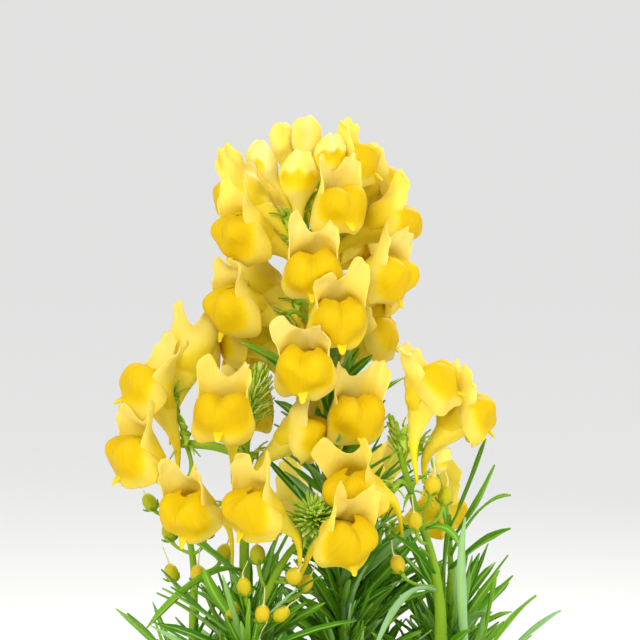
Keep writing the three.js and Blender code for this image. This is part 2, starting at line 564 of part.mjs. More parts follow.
// A closed solid of revolution from its profile, which starts and ends on the axis.
function lathed(profile) {
  const geometry = new THREE.LatheGeometry(profile.map(([r, z]) => new THREE.Vector2(r, z)), POT_SEGMENTS);
  geometry.deleteAttribute("normal");
  geometry.deleteAttribute("uv");
  geometry.rotateX(Math.PI / 2);
  const merged = mergeVertices(geometry, 1e-4);
  const at = merged.getAttribute("position");
  const index = merged.index.array;
  const points = Array.from({ length: at.count }, (_, i) => vec(at.getX(i), at.getY(i), at.getZ(i)));
  const triangles = [];
  for (let i = 0; i < index.length; i += 3) {
    const t = [index[i], index[i + 1], index[i + 2]];
    if (new Set(t).size === 3) triangles.push(t);
  }
  return solid(points, triangles);
}
const rimFoot = POT_HEIGHT - RIM_HEIGHT;
const shoulder = POT_RADIUS - 2 - RIM_STEP;
const mouth = POT_RADIUS - POT_WALL;
const innerFoot = FOOT_RADIUS - POT_WALL;
function innerRadius(height) {
  const share = (height - FLOOR_THICKNESS) / (POT_HEIGHT - 2 - FLOOR_THICKNESS);
  return innerFoot + (mouth - innerFoot) * share;
}
function pot() {
  return lathed([[0, 0], [FOOT_RADIUS, 0], [shoulder, rimFoot], [shoulder + RIM_STEP, rimFoot],
    [POT_RADIUS, POT_HEIGHT - 2], [POT_RADIUS - 1.2, POT_HEIGHT], [mouth + 1.2, POT_HEIGHT],
    [mouth, POT_HEIGHT - 2], [innerFoot, FLOOR_THICKNESS], [0, FLOOR_THICKNESS]]);
}

// The soil fills the pot up to below its rim, and each stem stands in a plain hole in it.
function soil() {
  const edge = SOIL_LEVEL - 2;
  let body = lathed([[0, FLOOR_THICKNESS + GAP], [innerFoot - GAP, FLOOR_THICKNESS + GAP],
    [innerRadius(edge) - GAP - 0.1, edge], [0.6 * POT_RADIUS, SOIL_LEVEL + 0.5 * SOIL_DOME],
    [0, SOIL_LEVEL + SOIL_DOME]]);
  for (const [name, stem] of Object.entries(STEMS)) {
    const curve = curveThrough(stem.route);
    const foot = curve.getPoint(0);
    const along = stemAt(name, SOIL_LEVEL + 8).sub(foot).normalize();
    const radius = (stem.radius[0] + 1.4 * GAP) / Math.cos(Math.PI / HOLE_SIDES);
    const from = foot.clone().addScaledVector(along, -GAP);
    const to = foot.clone().addScaledVector(along, HOLE_DEPTH);
    body = body.subtract(tube([from, to], radius, radius, HOLE_SIDES));
  }
  return body;
}

const MATERIALS = {
  terracotta: new THREE.MeshStandardMaterial({ color: 0xb5653c, roughness: 0.85 }),
  soil: new THREE.MeshStandardMaterial({ color: 0x3a2a1e, roughness: 1 }),
  leaf: new THREE.MeshStandardMaterial({ color: 0x5a9a1e, roughness: 0.6 }),
  petal: new THREE.MeshStandardMaterial({ color: 0xf2cf1c, roughness: 0.5 }),
};

const root = new THREE.Group();
root.name = "potted_common_toadflax";

function addNode(name, body, material) {
  const found = body.getMesh();
  const geometry = new THREE.BufferGeometry();
  const positions = new Float32Array(found.numVert * 3);
  for (let i = 0; i < found.numVert; i++)
    positions.set(found.vertProperties.subarray(i * found.numProp, i * found.numProp + 3), i * 3);
  geometry.setAttribute("position", new THREE.BufferAttribute(positions, 3));
  geometry.setIndex(new THREE.BufferAttribute(found.triVerts, 1));
  const flat = geometry.toNonIndexed();
  flat.computeVertexNormals();
  const mesh = new THREE.Mesh(flat, MATERIALS[material].clone());
  mesh.name = name;
  root.add(mesh);
}

addNode("pot", pot(), "terracotta");
addNode("soil", soil(), "soil");
for (const name of Object.keys(STEMS)) addNode("stem_" + name, shoot(name), "leaf");
for (const [name, bloom] of Object.entries(BLOOMS)) addNode("bloom_" + name, corolla(bloom), "petal");

export default root;
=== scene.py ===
import math

import bpy
import numpy as np
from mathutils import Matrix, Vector
from mathutils.bvhtree import BVHTree
from mathutils.kdtree import KDTree


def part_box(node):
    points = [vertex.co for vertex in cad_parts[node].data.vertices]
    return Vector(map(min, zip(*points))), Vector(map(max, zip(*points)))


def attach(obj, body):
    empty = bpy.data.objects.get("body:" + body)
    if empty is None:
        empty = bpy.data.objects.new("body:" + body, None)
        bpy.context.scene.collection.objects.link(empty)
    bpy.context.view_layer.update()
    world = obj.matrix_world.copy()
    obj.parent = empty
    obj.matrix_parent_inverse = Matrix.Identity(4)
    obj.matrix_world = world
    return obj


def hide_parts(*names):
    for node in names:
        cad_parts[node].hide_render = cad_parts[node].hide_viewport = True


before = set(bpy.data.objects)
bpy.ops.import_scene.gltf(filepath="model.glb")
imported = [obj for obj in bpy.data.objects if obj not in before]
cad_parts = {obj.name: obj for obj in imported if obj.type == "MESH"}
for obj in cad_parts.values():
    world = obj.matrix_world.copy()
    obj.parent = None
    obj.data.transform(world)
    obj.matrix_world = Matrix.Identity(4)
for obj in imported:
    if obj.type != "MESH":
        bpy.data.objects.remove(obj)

bpy.ops.object.select_all(action="DESELECT")
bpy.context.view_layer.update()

MM = 0.001
POT_HEIGHT, POT_RADIUS, FOOT_RADIUS, POT_WALL, FLOOR_THICKNESS = 110, 66, 45, 5, 8
RIM_HEIGHT, RIM_STEP, SOIL_LEVEL, SOIL_DOME = 24, 3, 97, 3
GOLDEN_ANGLE = 137.508
SPUR_LENGTH, SPUR_HOOK, PEDICEL_DROP = 11.5, 1.7, 3.2
SMALL_LEAF_SEED, SHOOT_SEED, TIP_SEED, BLOOM_SEED, BLOOM_SEED_STEP, CRUMB_SEED = 1000, 400, 7, 501, 37, 2024

# Each stem's route, its radius at the foot and at the top, and its leaves: the lowest and the highest
# place, the rise from one to the next, their length and their width.
STEMS = {
  "main": {
    "route": [[4, 2, 86], [7, 3, 130], [8, 2, 180], [6, 1, 235], [3.3, 0, 282], [0.5, 0, 303],
      [-1.9, 0, 320], [-3.6, 0, 339], [-6.5, 0, 352]],
    "radius": [1.9, 0.8], "leaves": [110, 293, 7.6, 31, 2.7], "seed": 11,
  },
  "left": {
    "route": [[-12, -6, 86], [-16, -9, 140], [-19, -12, 200], [-18, -12, 250], [-17.5, -12, 284],
      [-15.8, -11, 296], [-14.2, -10, 303]],
    "radius": [1.7, 0.8], "leaves": [112, 262, 10.2, 31, 2.7], "seed": 23,
    "branches": [[[-17.4, -12, 284], [-25, -11.5, 286.4], [-33.4, -11.5, 287]]],
  },
  "front": {
    "route": [[-4, -13, 86], [-11, -18, 140], [-16, -21, 195], [-16.5, -21, 238], [-13.2, -21, 250.7],
      [-8, -20, 261.4], [-2.5, -22, 268], [-1, -29.5, 273.5]],
    "radius": [1.6, 0.8], "leaves": [110, 238, 10, 30, 2.7], "seed": 37,
  },
  "right": {
    "route": [[12, -5, 86], [21, -8, 140], [27, -10, 200], [28.6, -10, 238.8], [27.9, -10, 252],
      [26, -10, 261.4], [22.4, -10, 272], [19, -10, 284], [16.8, -10, 292]],
    "radius": [1.7, 0.8], "leaves": [112, 258, 10.2, 31, 2.7], "seed": 41,
  },
  "right_leafy": {
    "route": [[17, 6, 86], [27, 10, 150], [32, 12, 210], [32, 12, 250], [31.5, 12, 266]],
    "radius": [1.5, 0.7], "leaves": [114, 262, 9.2, 29, 2.6], "seed": 53,
  },
  "right_low": {
    "route": [[19, -12, 86], [32, -17, 140], [38, -17, 190], [37, -13, 226], [39, -12, 240]],
    "radius": [1.5, 0.7], "leaves": [110, 236, 9.4, 28, 2.7], "seed": 61,
  },
  "left_fruit": {
    "route": [[-19, 4, 86], [-29, 8, 140], [-32, 9, 200], [-31, 8, 238], [-31, 8, 256],
      [-35, 8, 270], [-41, 8, 277]],
    "radius": [1.5, 0.7], "leaves": [112, 244, 10.2, 30, 2.7], "seed": 71,
  },
  "back": {
    "route": [[3, 16, 86], [7, 25, 150], [10, 30, 210], [12, 32, 250], [12, 32, 276]],
    "radius": [1.6, 0.8], "leaves": [110, 246, 10.2, 30, 2.7], "seed": 83,
  },
  "back_left": {
    "route": [[-9, 14, 86], [-16, 25, 145], [-19, 32, 200], [-18, 34, 246]],
    "radius": [1.5, 0.7], "leaves": [110, 244, 9.4, 29, 2.6], "seed": 97,
  },
  "back_right": {
    "route": [[13, 19, 86], [24, 28, 140], [29, 34, 190], [30, 35, 232]],
    "radius": [1.5, 0.7], "leaves": [112, 230, 9.4, 29, 2.6], "seed": 103,
  },
  "front_low": {
    "route": [[3, -17, 86], [9, -28, 130], [12, -34, 180], [12, -34, 214]],
    "radius": [1.4, 0.7], "leaves": [110, 212, 9.2, 28, 2.6], "seed": 113,
  },
}

def bloom_at(x, y, z, face, tilt, hook=SPUR_HOOK, size=1, bud=False, lean=0, joint=None):
    """A flower: where its middle is, the turn of its face and its tilt in degrees, how far its spur
    curves forward, its size, and where its stalk leaves the stem, if that isn't just below it."""
    return {"at": (x, y, z), "face": face, "tilt": tilt, "hook": hook, "size": size, "bud": bud,
            "lean": lean, "joint": joint}


FLOWERS = {
  "main": {
    "a1": bloom_at(-13.6, -3.5, 353, -80, 28, size=0.8, bud=True),
    "a2": bloom_at(-5, -9, 349.5, 0, 12, size=0.95, bud=True),
    "a3": bloom_at(2.6, -6.6, 354.5, 30, 14, size=0.85, bud=True),
    "a4": bloom_at(11, -1.1, 353.2, 80, 22, 4, size=0.85),
    "a5": bloom_at(-8.8, 6, 357, -150, 10, size=0.75, bud=True),
    "a6": bloom_at(-3.4, 4.6, 358.4, 170, 8, size=0.8, bud=True),
    "a7": bloom_at(15, 11.5, 347, 128, 25, size=0.9),
    "a8": bloom_at(6, -15, 343.5, 30, 30, size=0.95),
    "b1": bloom_at(-21, 10.5, 343, -125, 45, 6),
    "b2": bloom_at(-20.5, -11, 335.8, -58, 50, 4.5),
    "b4": bloom_at(20.3, 0.3, 337.6, 90, 50, 7),
    "b5": bloom_at(18.4, -11.5, 326, 62, 52, 5),
    "b6": bloom_at(-1.7, -22, 328, 0, 50, 6),
    "c1": bloom_at(-22.5, -11.5, 318.5, -60, 52, 4.5),
    "c2": bloom_at(5, -25, 317, 15, 52, 4.5),
    "c3": bloom_at(-21.7, 3.3, 310.3, -100, 45, 4.5),
    "c4": bloom_at(-3.8, -27, 306, -8, 52, 4.5),
    "c5": bloom_at(15.2, 2, 311.4, 95, 18, 3, size=0.95),
    "c6": bloom_at(9.5, -20, 294.5, 18, 42, 6),
    "g1": bloom_at(0.4, 19.6, 347, 165, 40, 4.5, size=0.9),
    "g2": bloom_at(-11.6, 20.3, 336, -158, 48, 5),
    "g3": bloom_at(9.2, 17.9, 332.3, 150, 48, 4.5),
    "g4": bloom_at(-1.6, 21.6, 319.6, 180, 50, 5),
    "g5": bloom_at(-17.7, 14.6, 321.3, -132, 50, 4.5),
    "g6": bloom_at(16.3, 14.9, 320.5, 126, 50, 4.5),
    "g7": bloom_at(7.3, 20.7, 307.5, 160, 50, 4.5),
    "g8": bloom_at(-8.7, 20.2, 306, -157, 50, 4.5),
    "g9": bloom_at(0.2, 20.5, 290.5, 182, 46, 4.5),
  },
  "left": {
    "d1": bloom_at(-42.5, -17, 302, -72, 12, joint=(-33.2, -11.5, 287)),
    "d2": bloom_at(-29.5, 0, 309, 172, 15, lean=-12, joint=(-31, -11.5, 287)),
    "d3": bloom_at(-45, -25.5, 286, -60, 35, joint=(-31.5, -11.5, 287)),
    "d4": bloom_at(-22.6, -31, 297, -10, 30),
    "d5": bloom_at(-1.1, -15.2, 289.5, 80, 40, 7, size=0.92),
    "d6": bloom_at(-31.5, -31, 273, -35, 58, 8),
    "d8": bloom_at(-18, 10.5, 294.3, 178, 30),
  },
  "front": {
    "d7": bloom_at(-17.3, -37, 275, -50, 45, 8),
    "f1": bloom_at(7.5, -38.5, 268, 32, 58, 5),
  },
  "right": {
    "f2": bloom_at(6, -31.5, 278, -42, 58, 7),
    "e1": bloom_at(28.5, -14, 302.5, 78, 2),
    "e2": bloom_at(38, -6, 293.5, 92, 30, 8),
    "e3": bloom_at(29, -11, 283, 80, 30, size=0.5, bud=True),
  },
  "back": {
    "h1": bloom_at(12, 55, 264, 180, 50, 5),
    "h2": bloom_at(33, 41.5, 261, 112, 50, 5),
    "h3": bloom_at(-9, 42.5, 262, -115, 50, 5),
    "h4": bloom_at(20, 40, 277, 140, 25, size=0.85, bud=True),
    "h5": bloom_at(4, 36, 278, -110, 22, size=0.8, bud=True),
  },
}
BLOOMS = {name: {"stem": stem, **bloom} for stem, blooms in FLOWERS.items()
          for name, bloom in blooms.items()}

# Each capsule: its stem, its middle, and the height at which its stalk leaves the stem.
CAPSULES = [
  ["front", [-13.3, -27, 249.5], 244], ["front", [-9, -26.5, 249.5], 247],
  ["front", [-17.5, -25.5, 255.5], 248], ["front", [-14.5, -20, 262], 254],
  ["front", [-6, -27.5, 258.5], 256], ["front", [-3.5, -17, 254.5], 250],
  ["front", [-20.5, -21, 249], 241], ["front", [-14.3, -27, 241.4], 236],
  ["left_fruit", [-41, 4, 270.2], 266], ["left_fruit", [-35.5, 3, 266], 262],
  ["left_fruit", [-27.6, 6, 263.1], 257], ["left_fruit", [-23.5, 8, 257], 252],
  ["left_fruit", [-36, 6, 252.5], 247], ["left_fruit", [-29.5, 2.5, 253], 248],
  ["left_fruit", [-37, 13, 261], 257],
  ["right", [26.4, -14.5, 277.4], 271], ["right", [29.5, -11.5, 274.5], 267],
  ["right", [22.2, -17.5, 269.5], 263], ["right", [18.3, -16, 259], 252.6],
]

# Each leaf that has its own place: its stem, base, bend and tip, its width, and how light its green is.
PLACED_LEAVES = [
  ["right_leafy", [31.6, 12, 262], [36, 8, 272], [40, 5, 285.7], 2, 0.6],
  ["right_leafy", [31.7, 12, 259], [38, 6, 268], [42, 2, 279.8], 1.9, 0.6],
  ["right_leafy", [31.9, 12, 255], [38, 4, 272], [45.7, -1, 272.9], 1.8, 0.6],
  ["right_low", [38.5, -12, 238], [40, -14, 248], [41.4, -15, 255.9], 2.2, 0.6],
  ["right_low", [38, -12.5, 234], [44, -15, 246], [50.7, -17, 251.9], 2.4, 0.6],
  ["right_low", [37.5, -12.8, 230], [48, -18, 243], [56.2, -20, 249], 2.4, 1.0],
  ["right_low", [37.1, -13, 226], [48, -20, 236], [57.1, -23, 240.5], 2.4, 1.0],
  ["right_low", [37, -13.4, 222], [31, -19, 246], [33.8, -20, 271], 2.6, 1.0],
  ["right", [27.9, -10, 251], [20, -19, 258], [12.4, -22, 238.8], 2.9, 1.0],
  ["right", [24.4, -10, 266], [31, -14, 270], [33.3, -15, 261.9], 1.8, 0.6],
  ["right", [26.6, -10, 259], [22, -14, 263], [23.5, -16, 262.5], 1.6, 0.6],
  ["left", [-18, -12, 256.5], [-26, -21, 262], [-40.5, -19, 244.5], 2.4, 0.6],
  ["front", [-16.4, -21, 243], [-24, -22, 250], [-27, -25, 260], 3, 0.6],
  ["left_fruit", [-31.3, 8.3, 226], [-30, 0, 236], [-29, -4, 247], 3.4, 0.6],
  ["main", [2.3, 0, 290], [-1, -4, 291], [-3.8, -6, 297], 1.9, 0.6],
  ["main", [2.3, 0, 290], [-2, -3, 292], [-2.6, -4.5, 300], 1.8, 0.6],
  ["main", [2.7, 0, 287], [-3, -5, 286], [-6, -7, 290.2], 2, 0.6],
  ["main", [2.7, 0, 287], [3, -6, 284], [1, -9, 281], 2, 0.6],
]


# Numbers, curves and places.

def draws(seed):
    """Park and Miller's number generator, so that every draw is the same on each run."""
    state = [seed]

    def draw(low, high):
        state[0] = state[0] * 16807 % 2147483647
        return low + (high - low) * state[0] / 2147483647

    return draw


def arr(*values):
    return np.array(values, float)


def unit(v):
    return v / max(np.linalg.norm(v), 1e-9)


def through(route, t):
    """The point at share t of a smooth curve through the points of a route."""
    points = [np.array(p, float) for p in route]
    last = len(points) - 1
    i = min(int(math.floor(last * t)), last - 1)
    w = last * t - i
    p1, p2 = points[i], points[i + 1]
    p0 = points[i - 1] if i > 0 else 2 * points[0] - points[1]
    p3 = points[i + 2] if i + 2 <= last else 2 * points[last] - points[last - 1]
    t0, t1 = 0.5 * (p2 - p0), 0.5 * (p3 - p1)
    c2 = -3 * p1 + 3 * p2 - 2 * t0 - t1
    c3 = 2 * p1 - 2 * p2 + t0 + t1
    return p1 + t0 * w + c2 * w * w + c3 * w ** 3


def bent(base, bend, tip, t):
    """The points at shares t of a simple bend from a base to a tip."""
    t = np.asarray(t, float)[..., None]
    return (1 - t) ** 2 * base + 2 * t * (1 - t) * bend + t * t * tip


def slope(base, bend, tip, t):
    t = np.asarray(t, float)[..., None]
    return 2 * (1 - t) * (bend - base) + 2 * t * (tip - bend)


def turned_side(side, direction):
    return unit(side - direction * float(np.dot(side, direction)))


STEM_POINTS = {name: np.array([through(s["route"], i / 120) for i in range(121)])
               for name, s in STEMS.items()}


def stem_at(name, height):
    points = STEM_POINTS[name]
    i = 0
    while i + 2 < len(points) and points[i + 1][2] < height:
        i += 1
    p, q = points[i], points[i + 1]
    return p + (q - p) * min(max((height - p[2]) / (q[2] - p[2]), 0), 1)


def bloom_frame(bloom):
    """A flower's own axes, x to its right, f out of its mouth, z up its tube, its size and its origin."""
    face, tilt = math.radians(bloom["face"]), math.radians(bloom["tilt"])
    lean, size = math.radians(bloom["lean"]), bloom["size"]
    forward = arr(math.sin(face), -math.cos(face), 0)
    right = arr(math.cos(face), math.sin(face), 0)
    up = forward * math.sin(tilt) + arr(0, 0, math.cos(tilt))
    f = forward * math.cos(tilt) - arr(0, 0, math.sin(tilt))
    x = right * math.cos(lean) - up * math.sin(lean)
    z = right * math.sin(lean) + up * math.cos(lean)
    middle = (0, 1.4, 11) if bloom["bud"] else (0, 6.5, 13.5)
    axes = np.array([x, f, z]) * size
    return axes, size, np.array(bloom["at"], float) - np.array(middle) @ axes


def placed(bloom, p):
    axes, _, origin = bloom_frame(bloom)
    return np.asarray(p, float) @ axes + origin


def stalk_bend(bloom):
    """The base, the bend and the end of a flower's stalk."""
    axes, size, _ = bloom_frame(bloom)
    end = placed(bloom, (0, -2.7, -1.2))
    joint = arr(*bloom["joint"]) if bloom["joint"] else stem_at(bloom["stem"], end[2] - PEDICEL_DROP)
    return joint, end - axes[1] / size * 0.35 * np.linalg.norm(end - joint), end


def capsule_bend(entry):
    stem, at, foot = entry
    joint, top = stem_at(stem, foot), np.array(at, float)
    out = arr(top[0] - joint[0], top[1] - joint[1], 0)
    return joint, joint + 0.75 * out + arr(0, 0, 0.5), top


# Where the leaves stand.

# What a leaf stays clear of: balls with an owner, whose own leaves may touch them.
MOST_BALLS, FARTHEST_BALL = 40000, 8.5
STALK_BALL, CALYX_BALL, CAPSULE_BALL, STYLE_BALL, BRANCH_BALL = 1.2, 3.4, 2.6, 1.4, 1.6
LOWEST_LEAF = SOIL_LEVEL + SOIL_DOME + 3
ball_at, ball_radius = np.zeros((MOST_BALLS, 3)), np.zeros(MOST_BALLS)
ball_owner = np.zeros(MOST_BALLS, int)
ball_count = 0
OWNERS = {name: i + 1 for i, name in enumerate(STEMS)}


def keep_out(owner, at, radius):
    global ball_count
    ball_at[ball_count] = at
    ball_radius[ball_count] = radius
    ball_owner[ball_count] = OWNERS.get(owner, 0)
    ball_count += 1


BLOOM_BALLS = [(0, 4, 13, 7.2), (0, 2.4, 6, 4), (0, 0.8, 0, 2.6), (0, 0.8, -5, 1.8), (0, -0.3, 18.5, 5),
               (0, 11, 11.5, 2), (0, 1.2, -8.5, 1.6)]
BUD_BALLS = [(0, 1.4, 9, 4.2), (0, 1, 4, 3.2), (0, 0.8, -1, 2), (0, 1, 14, 3.4), (0, 1, -7, 1.6)]
for bloom in BLOOMS.values():
    for bx, bf, bz, br in BUD_BALLS if bloom["bud"] else BLOOM_BALLS:
        keep_out("", placed(bloom, (bx, bf, bz)), br * bloom["size"])
    for i in range(6):
        keep_out(bloom["stem"], bent(*stalk_bend(bloom), i / 5), CALYX_BALL if i > 3 else STALK_BALL)
for entry in CAPSULES:
    for i in range(6):
        keep_out(entry[0], bent(*capsule_bend(entry), i / 5), CAPSULE_BALL if i > 3 else STALK_BALL)
    keep_out(entry[0], entry[1] + 4 * unit(slope(*capsule_bend(entry), 1.0)), STYLE_BALL)
for name, points in STEM_POINTS.items():
    for p in points:
        keep_out(name, p, STEMS[name]["radius"][0] + 0.4)
for branch in STEMS["left"]["branches"]:
    for i in range(13):
        keep_out("left", through(branch, i / 12), BRANCH_BALL)


def leaf_is_clear(owner, base, bend, tip, gap=0.9):
    points = bent(base, bend, tip, np.arange(2, 13) / 12)
    if points[:, 2].min() < LOWEST_LEAF:
        return False
    at, radius = ball_at[:ball_count], ball_radius[:ball_count]
    middle = (points.max(0) + points.min(0)) / 2
    reach = (points.max(0) - points.min(0)) / 2 + FARTHEST_BALL
    others = (ball_owner[:ball_count] != OWNERS[owner]) & (np.abs(at - middle) < reach).all(1)
    near = at[others][None] - points[:, None]
    return bool(((near ** 2).sum(2) >= (radius[others] + gap) ** 2).all())


def claim_leaf(owner, base, bend, tip, balls=12, radius=1.3):
    for p in bent(base, bend, tip, np.arange(1, balls + 1) / balls):
        keep_out(owner, p, radius)


def leaf_bend(name, height, azimuth, reach, climb, sag):
    out = arr(math.sin(azimuth), -math.cos(azimuth), 0)
    rise = reach * math.sin(math.radians(climb))
    run = reach * math.cos(math.radians(climb))
    base = stem_at(name, height)
    return (base, base + out * 0.5 * run + arr(0, 0, 0.5 * rise),
            base + out * run * (1 + 0.4 * sag) + arr(0, 0, rise * (1 - sag)))


ATTEMPTS, ATTEMPT_TURN = 9, 40
leaves = []
for stem, base, bend, tip, width, tone in PLACED_LEAVES:
    curve = tuple(np.array(p, float) for p in (base, bend, tip))
    claim_leaf(stem, *curve)
    leaves.append((stem, curve, width, tone))
for name, stem in STEMS.items():
    low, high, rise, length, width = stem["leaves"]
    draw = draws(stem["seed"])
    turn = draw(0, 360)
    height = low
    while height <= high:
        turn += GOLDEN_ANGLE + draw(-14, 14)
        age = (height - low) / (high - low)
        reach = length * draw(0.8, 1.12) * (1.1 - 0.35 * age)
        climb = draw(38, 62)
        sag = draw(0.05, 0.3)
        broad = width * draw(0.85, 1.15)
        for attempt in range(ATTEMPTS):
            curve = leaf_bend(name, height, math.radians(turn + attempt * ATTEMPT_TURN), reach, climb, sag)
            if leaf_is_clear(name, *curve):
                claim_leaf(name, *curve)
                leaves.append((name, curve, broad, (turn * 0.37) % 1))
                break
        height += rise

# The small leaves of the short side shoots, which fill the clump between the large ones. Round
# the outside they stop lower down than the large leaves do.
BARE_TOP = {"left_fruit": 22, "left": 24, "back_left": 18, "right": 44, "right_leafy": 30, "right_low": 26,
            "back_right": 6}
LEAVES_AT_ONCE = {"main": 11, "front_low": 11, "front": 10, "back": 11, "back_right": 10, "back_left": 8}
small_leaves = []
for name, stem in STEMS.items():
    low, high = stem["leaves"][0], stem["leaves"][1]
    draw = draws(stem["seed"] + SMALL_LEAF_SEED)
    height = low + 4
    while height <= high + 6 - BARE_TOP.get(name, 0):
        turn = draw(0, 360)
        for _ in range(LEAVES_AT_ONCE.get(name, 5)):
            turn += 100 + draw(-25, 25)
            reach, climb, sag = draw(12, 29), draw(32, 74), draw(-0.1, 0.35)
            curve = leaf_bend(name, height + draw(-2, 2), math.radians(turn), reach, climb, sag)
            if leaf_is_clear(name, *curve, gap=0.2):
                claim_leaf(name, *curve, balls=7, radius=0.8)
                small_leaves.append((name, curve, draw(1.5, 2.7), draw(0, 1)))
        height += draw(2.0, 3.6)


# Shapes modelled once.

def read_corners(piece):
    corners = np.empty(len(piece.data.vertices) * 3)
    piece.data.vertices.foreach_get("co", corners)
    return corners.reshape(-1, 3)


def reshaped(piece, corners):
    piece.data.vertices.foreach_set("co", np.ascontiguousarray(corners, float).ravel())
    piece.data.update()


def put_away(piece):
    mesh = piece.data
    bpy.data.objects.remove(piece)
    bpy.data.meshes.remove(mesh)


def taken(piece):
    """The corners in millimetres and the faces of a finished shape, which is then put away."""
    corners, faces = read_corners(piece), [tuple(face.vertices) for face in piece.data.polygons]
    put_away(piece)
    return corners, faces


def linked(name, data):
    """A new object of the scene, made from its data."""
    made = bpy.data.objects.new(name, data)
    bpy.context.scene.collection.objects.link(made)
    return made


def edit_all():
    """Opens the last shape for editing and selects all of it."""
    bpy.ops.object.mode_set(mode="EDIT")
    bpy.ops.mesh.select_all(action="SELECT")


def thickened(piece, thickness, offset=0):
    wall = piece.modifiers.new("wall", "SOLIDIFY")
    wall.thickness = thickness
    wall.offset = offset
    bpy.context.view_layer.objects.active = piece
    bpy.ops.object.modifier_apply(modifier=wall.name)


def drawn_up(sides, rings):
    """A closed body drawn up ring by ring from a disc. A ring is (height, forward, depth, width)."""
    bpy.ops.mesh.primitive_circle_add(vertices=sides, radius=1, fill_type="NGON", location=(0, 0, 0))
    piece = bpy.context.object
    edit_all()
    height, forward, depth, width = rings[0]
    bpy.ops.transform.resize(value=(width, depth, 1), center_override=(0, 0, 0))
    bpy.ops.transform.translate(value=(0, -forward, height))
    for ring in rings[1:]:
        move = (0, forward - ring[1], ring[0] - height)
        bpy.ops.mesh.extrude_region_move(TRANSFORM_OT_translate={"value": move})
        bpy.ops.transform.resize(value=(ring[3] / width, ring[2] / depth, 1),
                                 center_override=(0, -ring[1], ring[0]))
        height, forward, depth, width = ring
    bpy.ops.mesh.select_all(action="SELECT")
    bpy.ops.mesh.normals_make_consistent(inside=False)
    bpy.ops.object.mode_set(mode="OBJECT")
    return piece


def sheet(across, along, thickness=0.0):
    """A flat sheet, -1 to 1 across and 0 to 1 along, with a thickness where one is given."""
    bpy.ops.mesh.primitive_grid_add(x_subdivisions=across, y_subdivisions=along, size=2, location=(0, 0, 0))
    piece = bpy.context.object
    edit_all()
    bpy.ops.transform.translate(value=(0, 1, 0))
    bpy.ops.transform.resize(value=(1, 0.5, 1), center_override=(0, 0, 0))
    bpy.ops.object.mode_set(mode="OBJECT")
    if thickness:
        thickened(piece, thickness, -1)
    return piece


def notes(piece, **values):
    """Writes numbers for each corner as attributes, which the materials read."""
    for name, value in values.items():
        attributes = piece.data.attributes
        attribute = attributes.get(name) or attributes.new(name, "FLOAT", "POINT")
        spread = np.broadcast_to(value, len(piece.data.vertices))
        attribute.data.foreach_set("value", spread.astype(np.float32))


def smooth(edge0, edge1, x):
    t = np.clip((x - edge0) / (edge1 - edge0), 0, 1)
    return t * t * (3 - 2 * t)


def hung(piece, x, f, z):
    """Puts a flower's sheet in its place from sideways, forward and upward millimetres."""
    reshaped(piece, np.column_stack([x, -np.asarray(f), z]))


def joined(pieces, levels):
    """Joins shapes into one and rounds them by subdivision."""
    bpy.ops.object.select_all(action="DESELECT")
    for piece in pieces:
        piece.select_set(True)
    bpy.context.view_layer.objects.active = pieces[0]
    bpy.ops.object.join()
    whole = bpy.context.object
    rounding = whole.modifiers.new("rounding", "SUBSURF")
    rounding.levels = rounding.render_levels = levels
    bpy.ops.object.modifier_apply(modifier=rounding.name)
    whole.data.shade_smooth()
    bpy.ops.object.select_all(action="DESELECT")
    return whole


# The spur and the tube, from the spur's tip upwards.
FLOWER_RINGS = [
    (-11.6, 1.7, 0.12, 0.12), (-11.2, 1.7, 0.36, 0.34), (-9.5, 1.45, 0.5, 0.48), (-7, 0.85, 0.68, 0.66),
    (-4.5, 0.45, 0.85, 0.85), (-2, 0.35, 1.15, 1.2), (0.5, 0.6, 1.65, 1.8), (3, 1.35, 2.4, 2.6),
    (6, 2.2, 3.2, 3.5), (8.5, 2.8, 3.8, 4.2), (10, 3.1, 4.0, 4.4), (11.4, 3.2, 3.4, 3.9),
    (12, 3.2, 1.8, 2.2), (12.1, 3.2, 0.7, 0.9)]
# The lower lip, as sections at these turns from its middle: how far each runs out from the
# flower's axis and how high, from the throat over the palate's hump and down to the rim.
LIP_STEPS = [0, 0.13, 0.28, 0.45, 0.62, 0.81, 1]
LIP_SECTIONS = {
    0: ([1.0, 2.6, 4.0, 5.6, 6.0, 5.9, 5.6], [14.6, 16.1, 16.5, 14.6, 11.6, 9.3, 7.6]),
    25: ([1.0, 2.8, 4.2, 5.7, 6.1, 6.1, 5.9], [14.8, 17.3, 17.8, 15.1, 11.7, 8.8, 6.4]),
    46: ([1.1, 2.9, 4.4, 5.9, 6.3, 6.4, 6.3], [15.0, 17.7, 18.0, 15.0, 11.5, 8.2, 5.5]),
    75: ([1.3, 3.1, 4.6, 5.7, 6.2, 6.4, 6.5], [14.8, 17.0, 17.0, 14.3, 11.4, 8.6, 6.4]),
    102: ([1.8, 3.5, 4.7, 5.2, 5.4, 5.5, 5.7], [14.0, 15.4, 15.0, 13.5, 12.0, 10.6, 9.5]),
    122: ([2.6, 3.8, 4.4, 4.5, 4.6, 4.6, 4.6], [13.4, 13.9, 13.8, 13.5, 13.1, 12.8, 12.5])}
# The lip's axis, where it leans back to at the throat, so that the palate shuts the mouth, and the
# axis from which its side lobes spread.
LIP_AXIS, THROAT_AXIS, LOBE_AXIS = 3.5, 1.2, 4.2


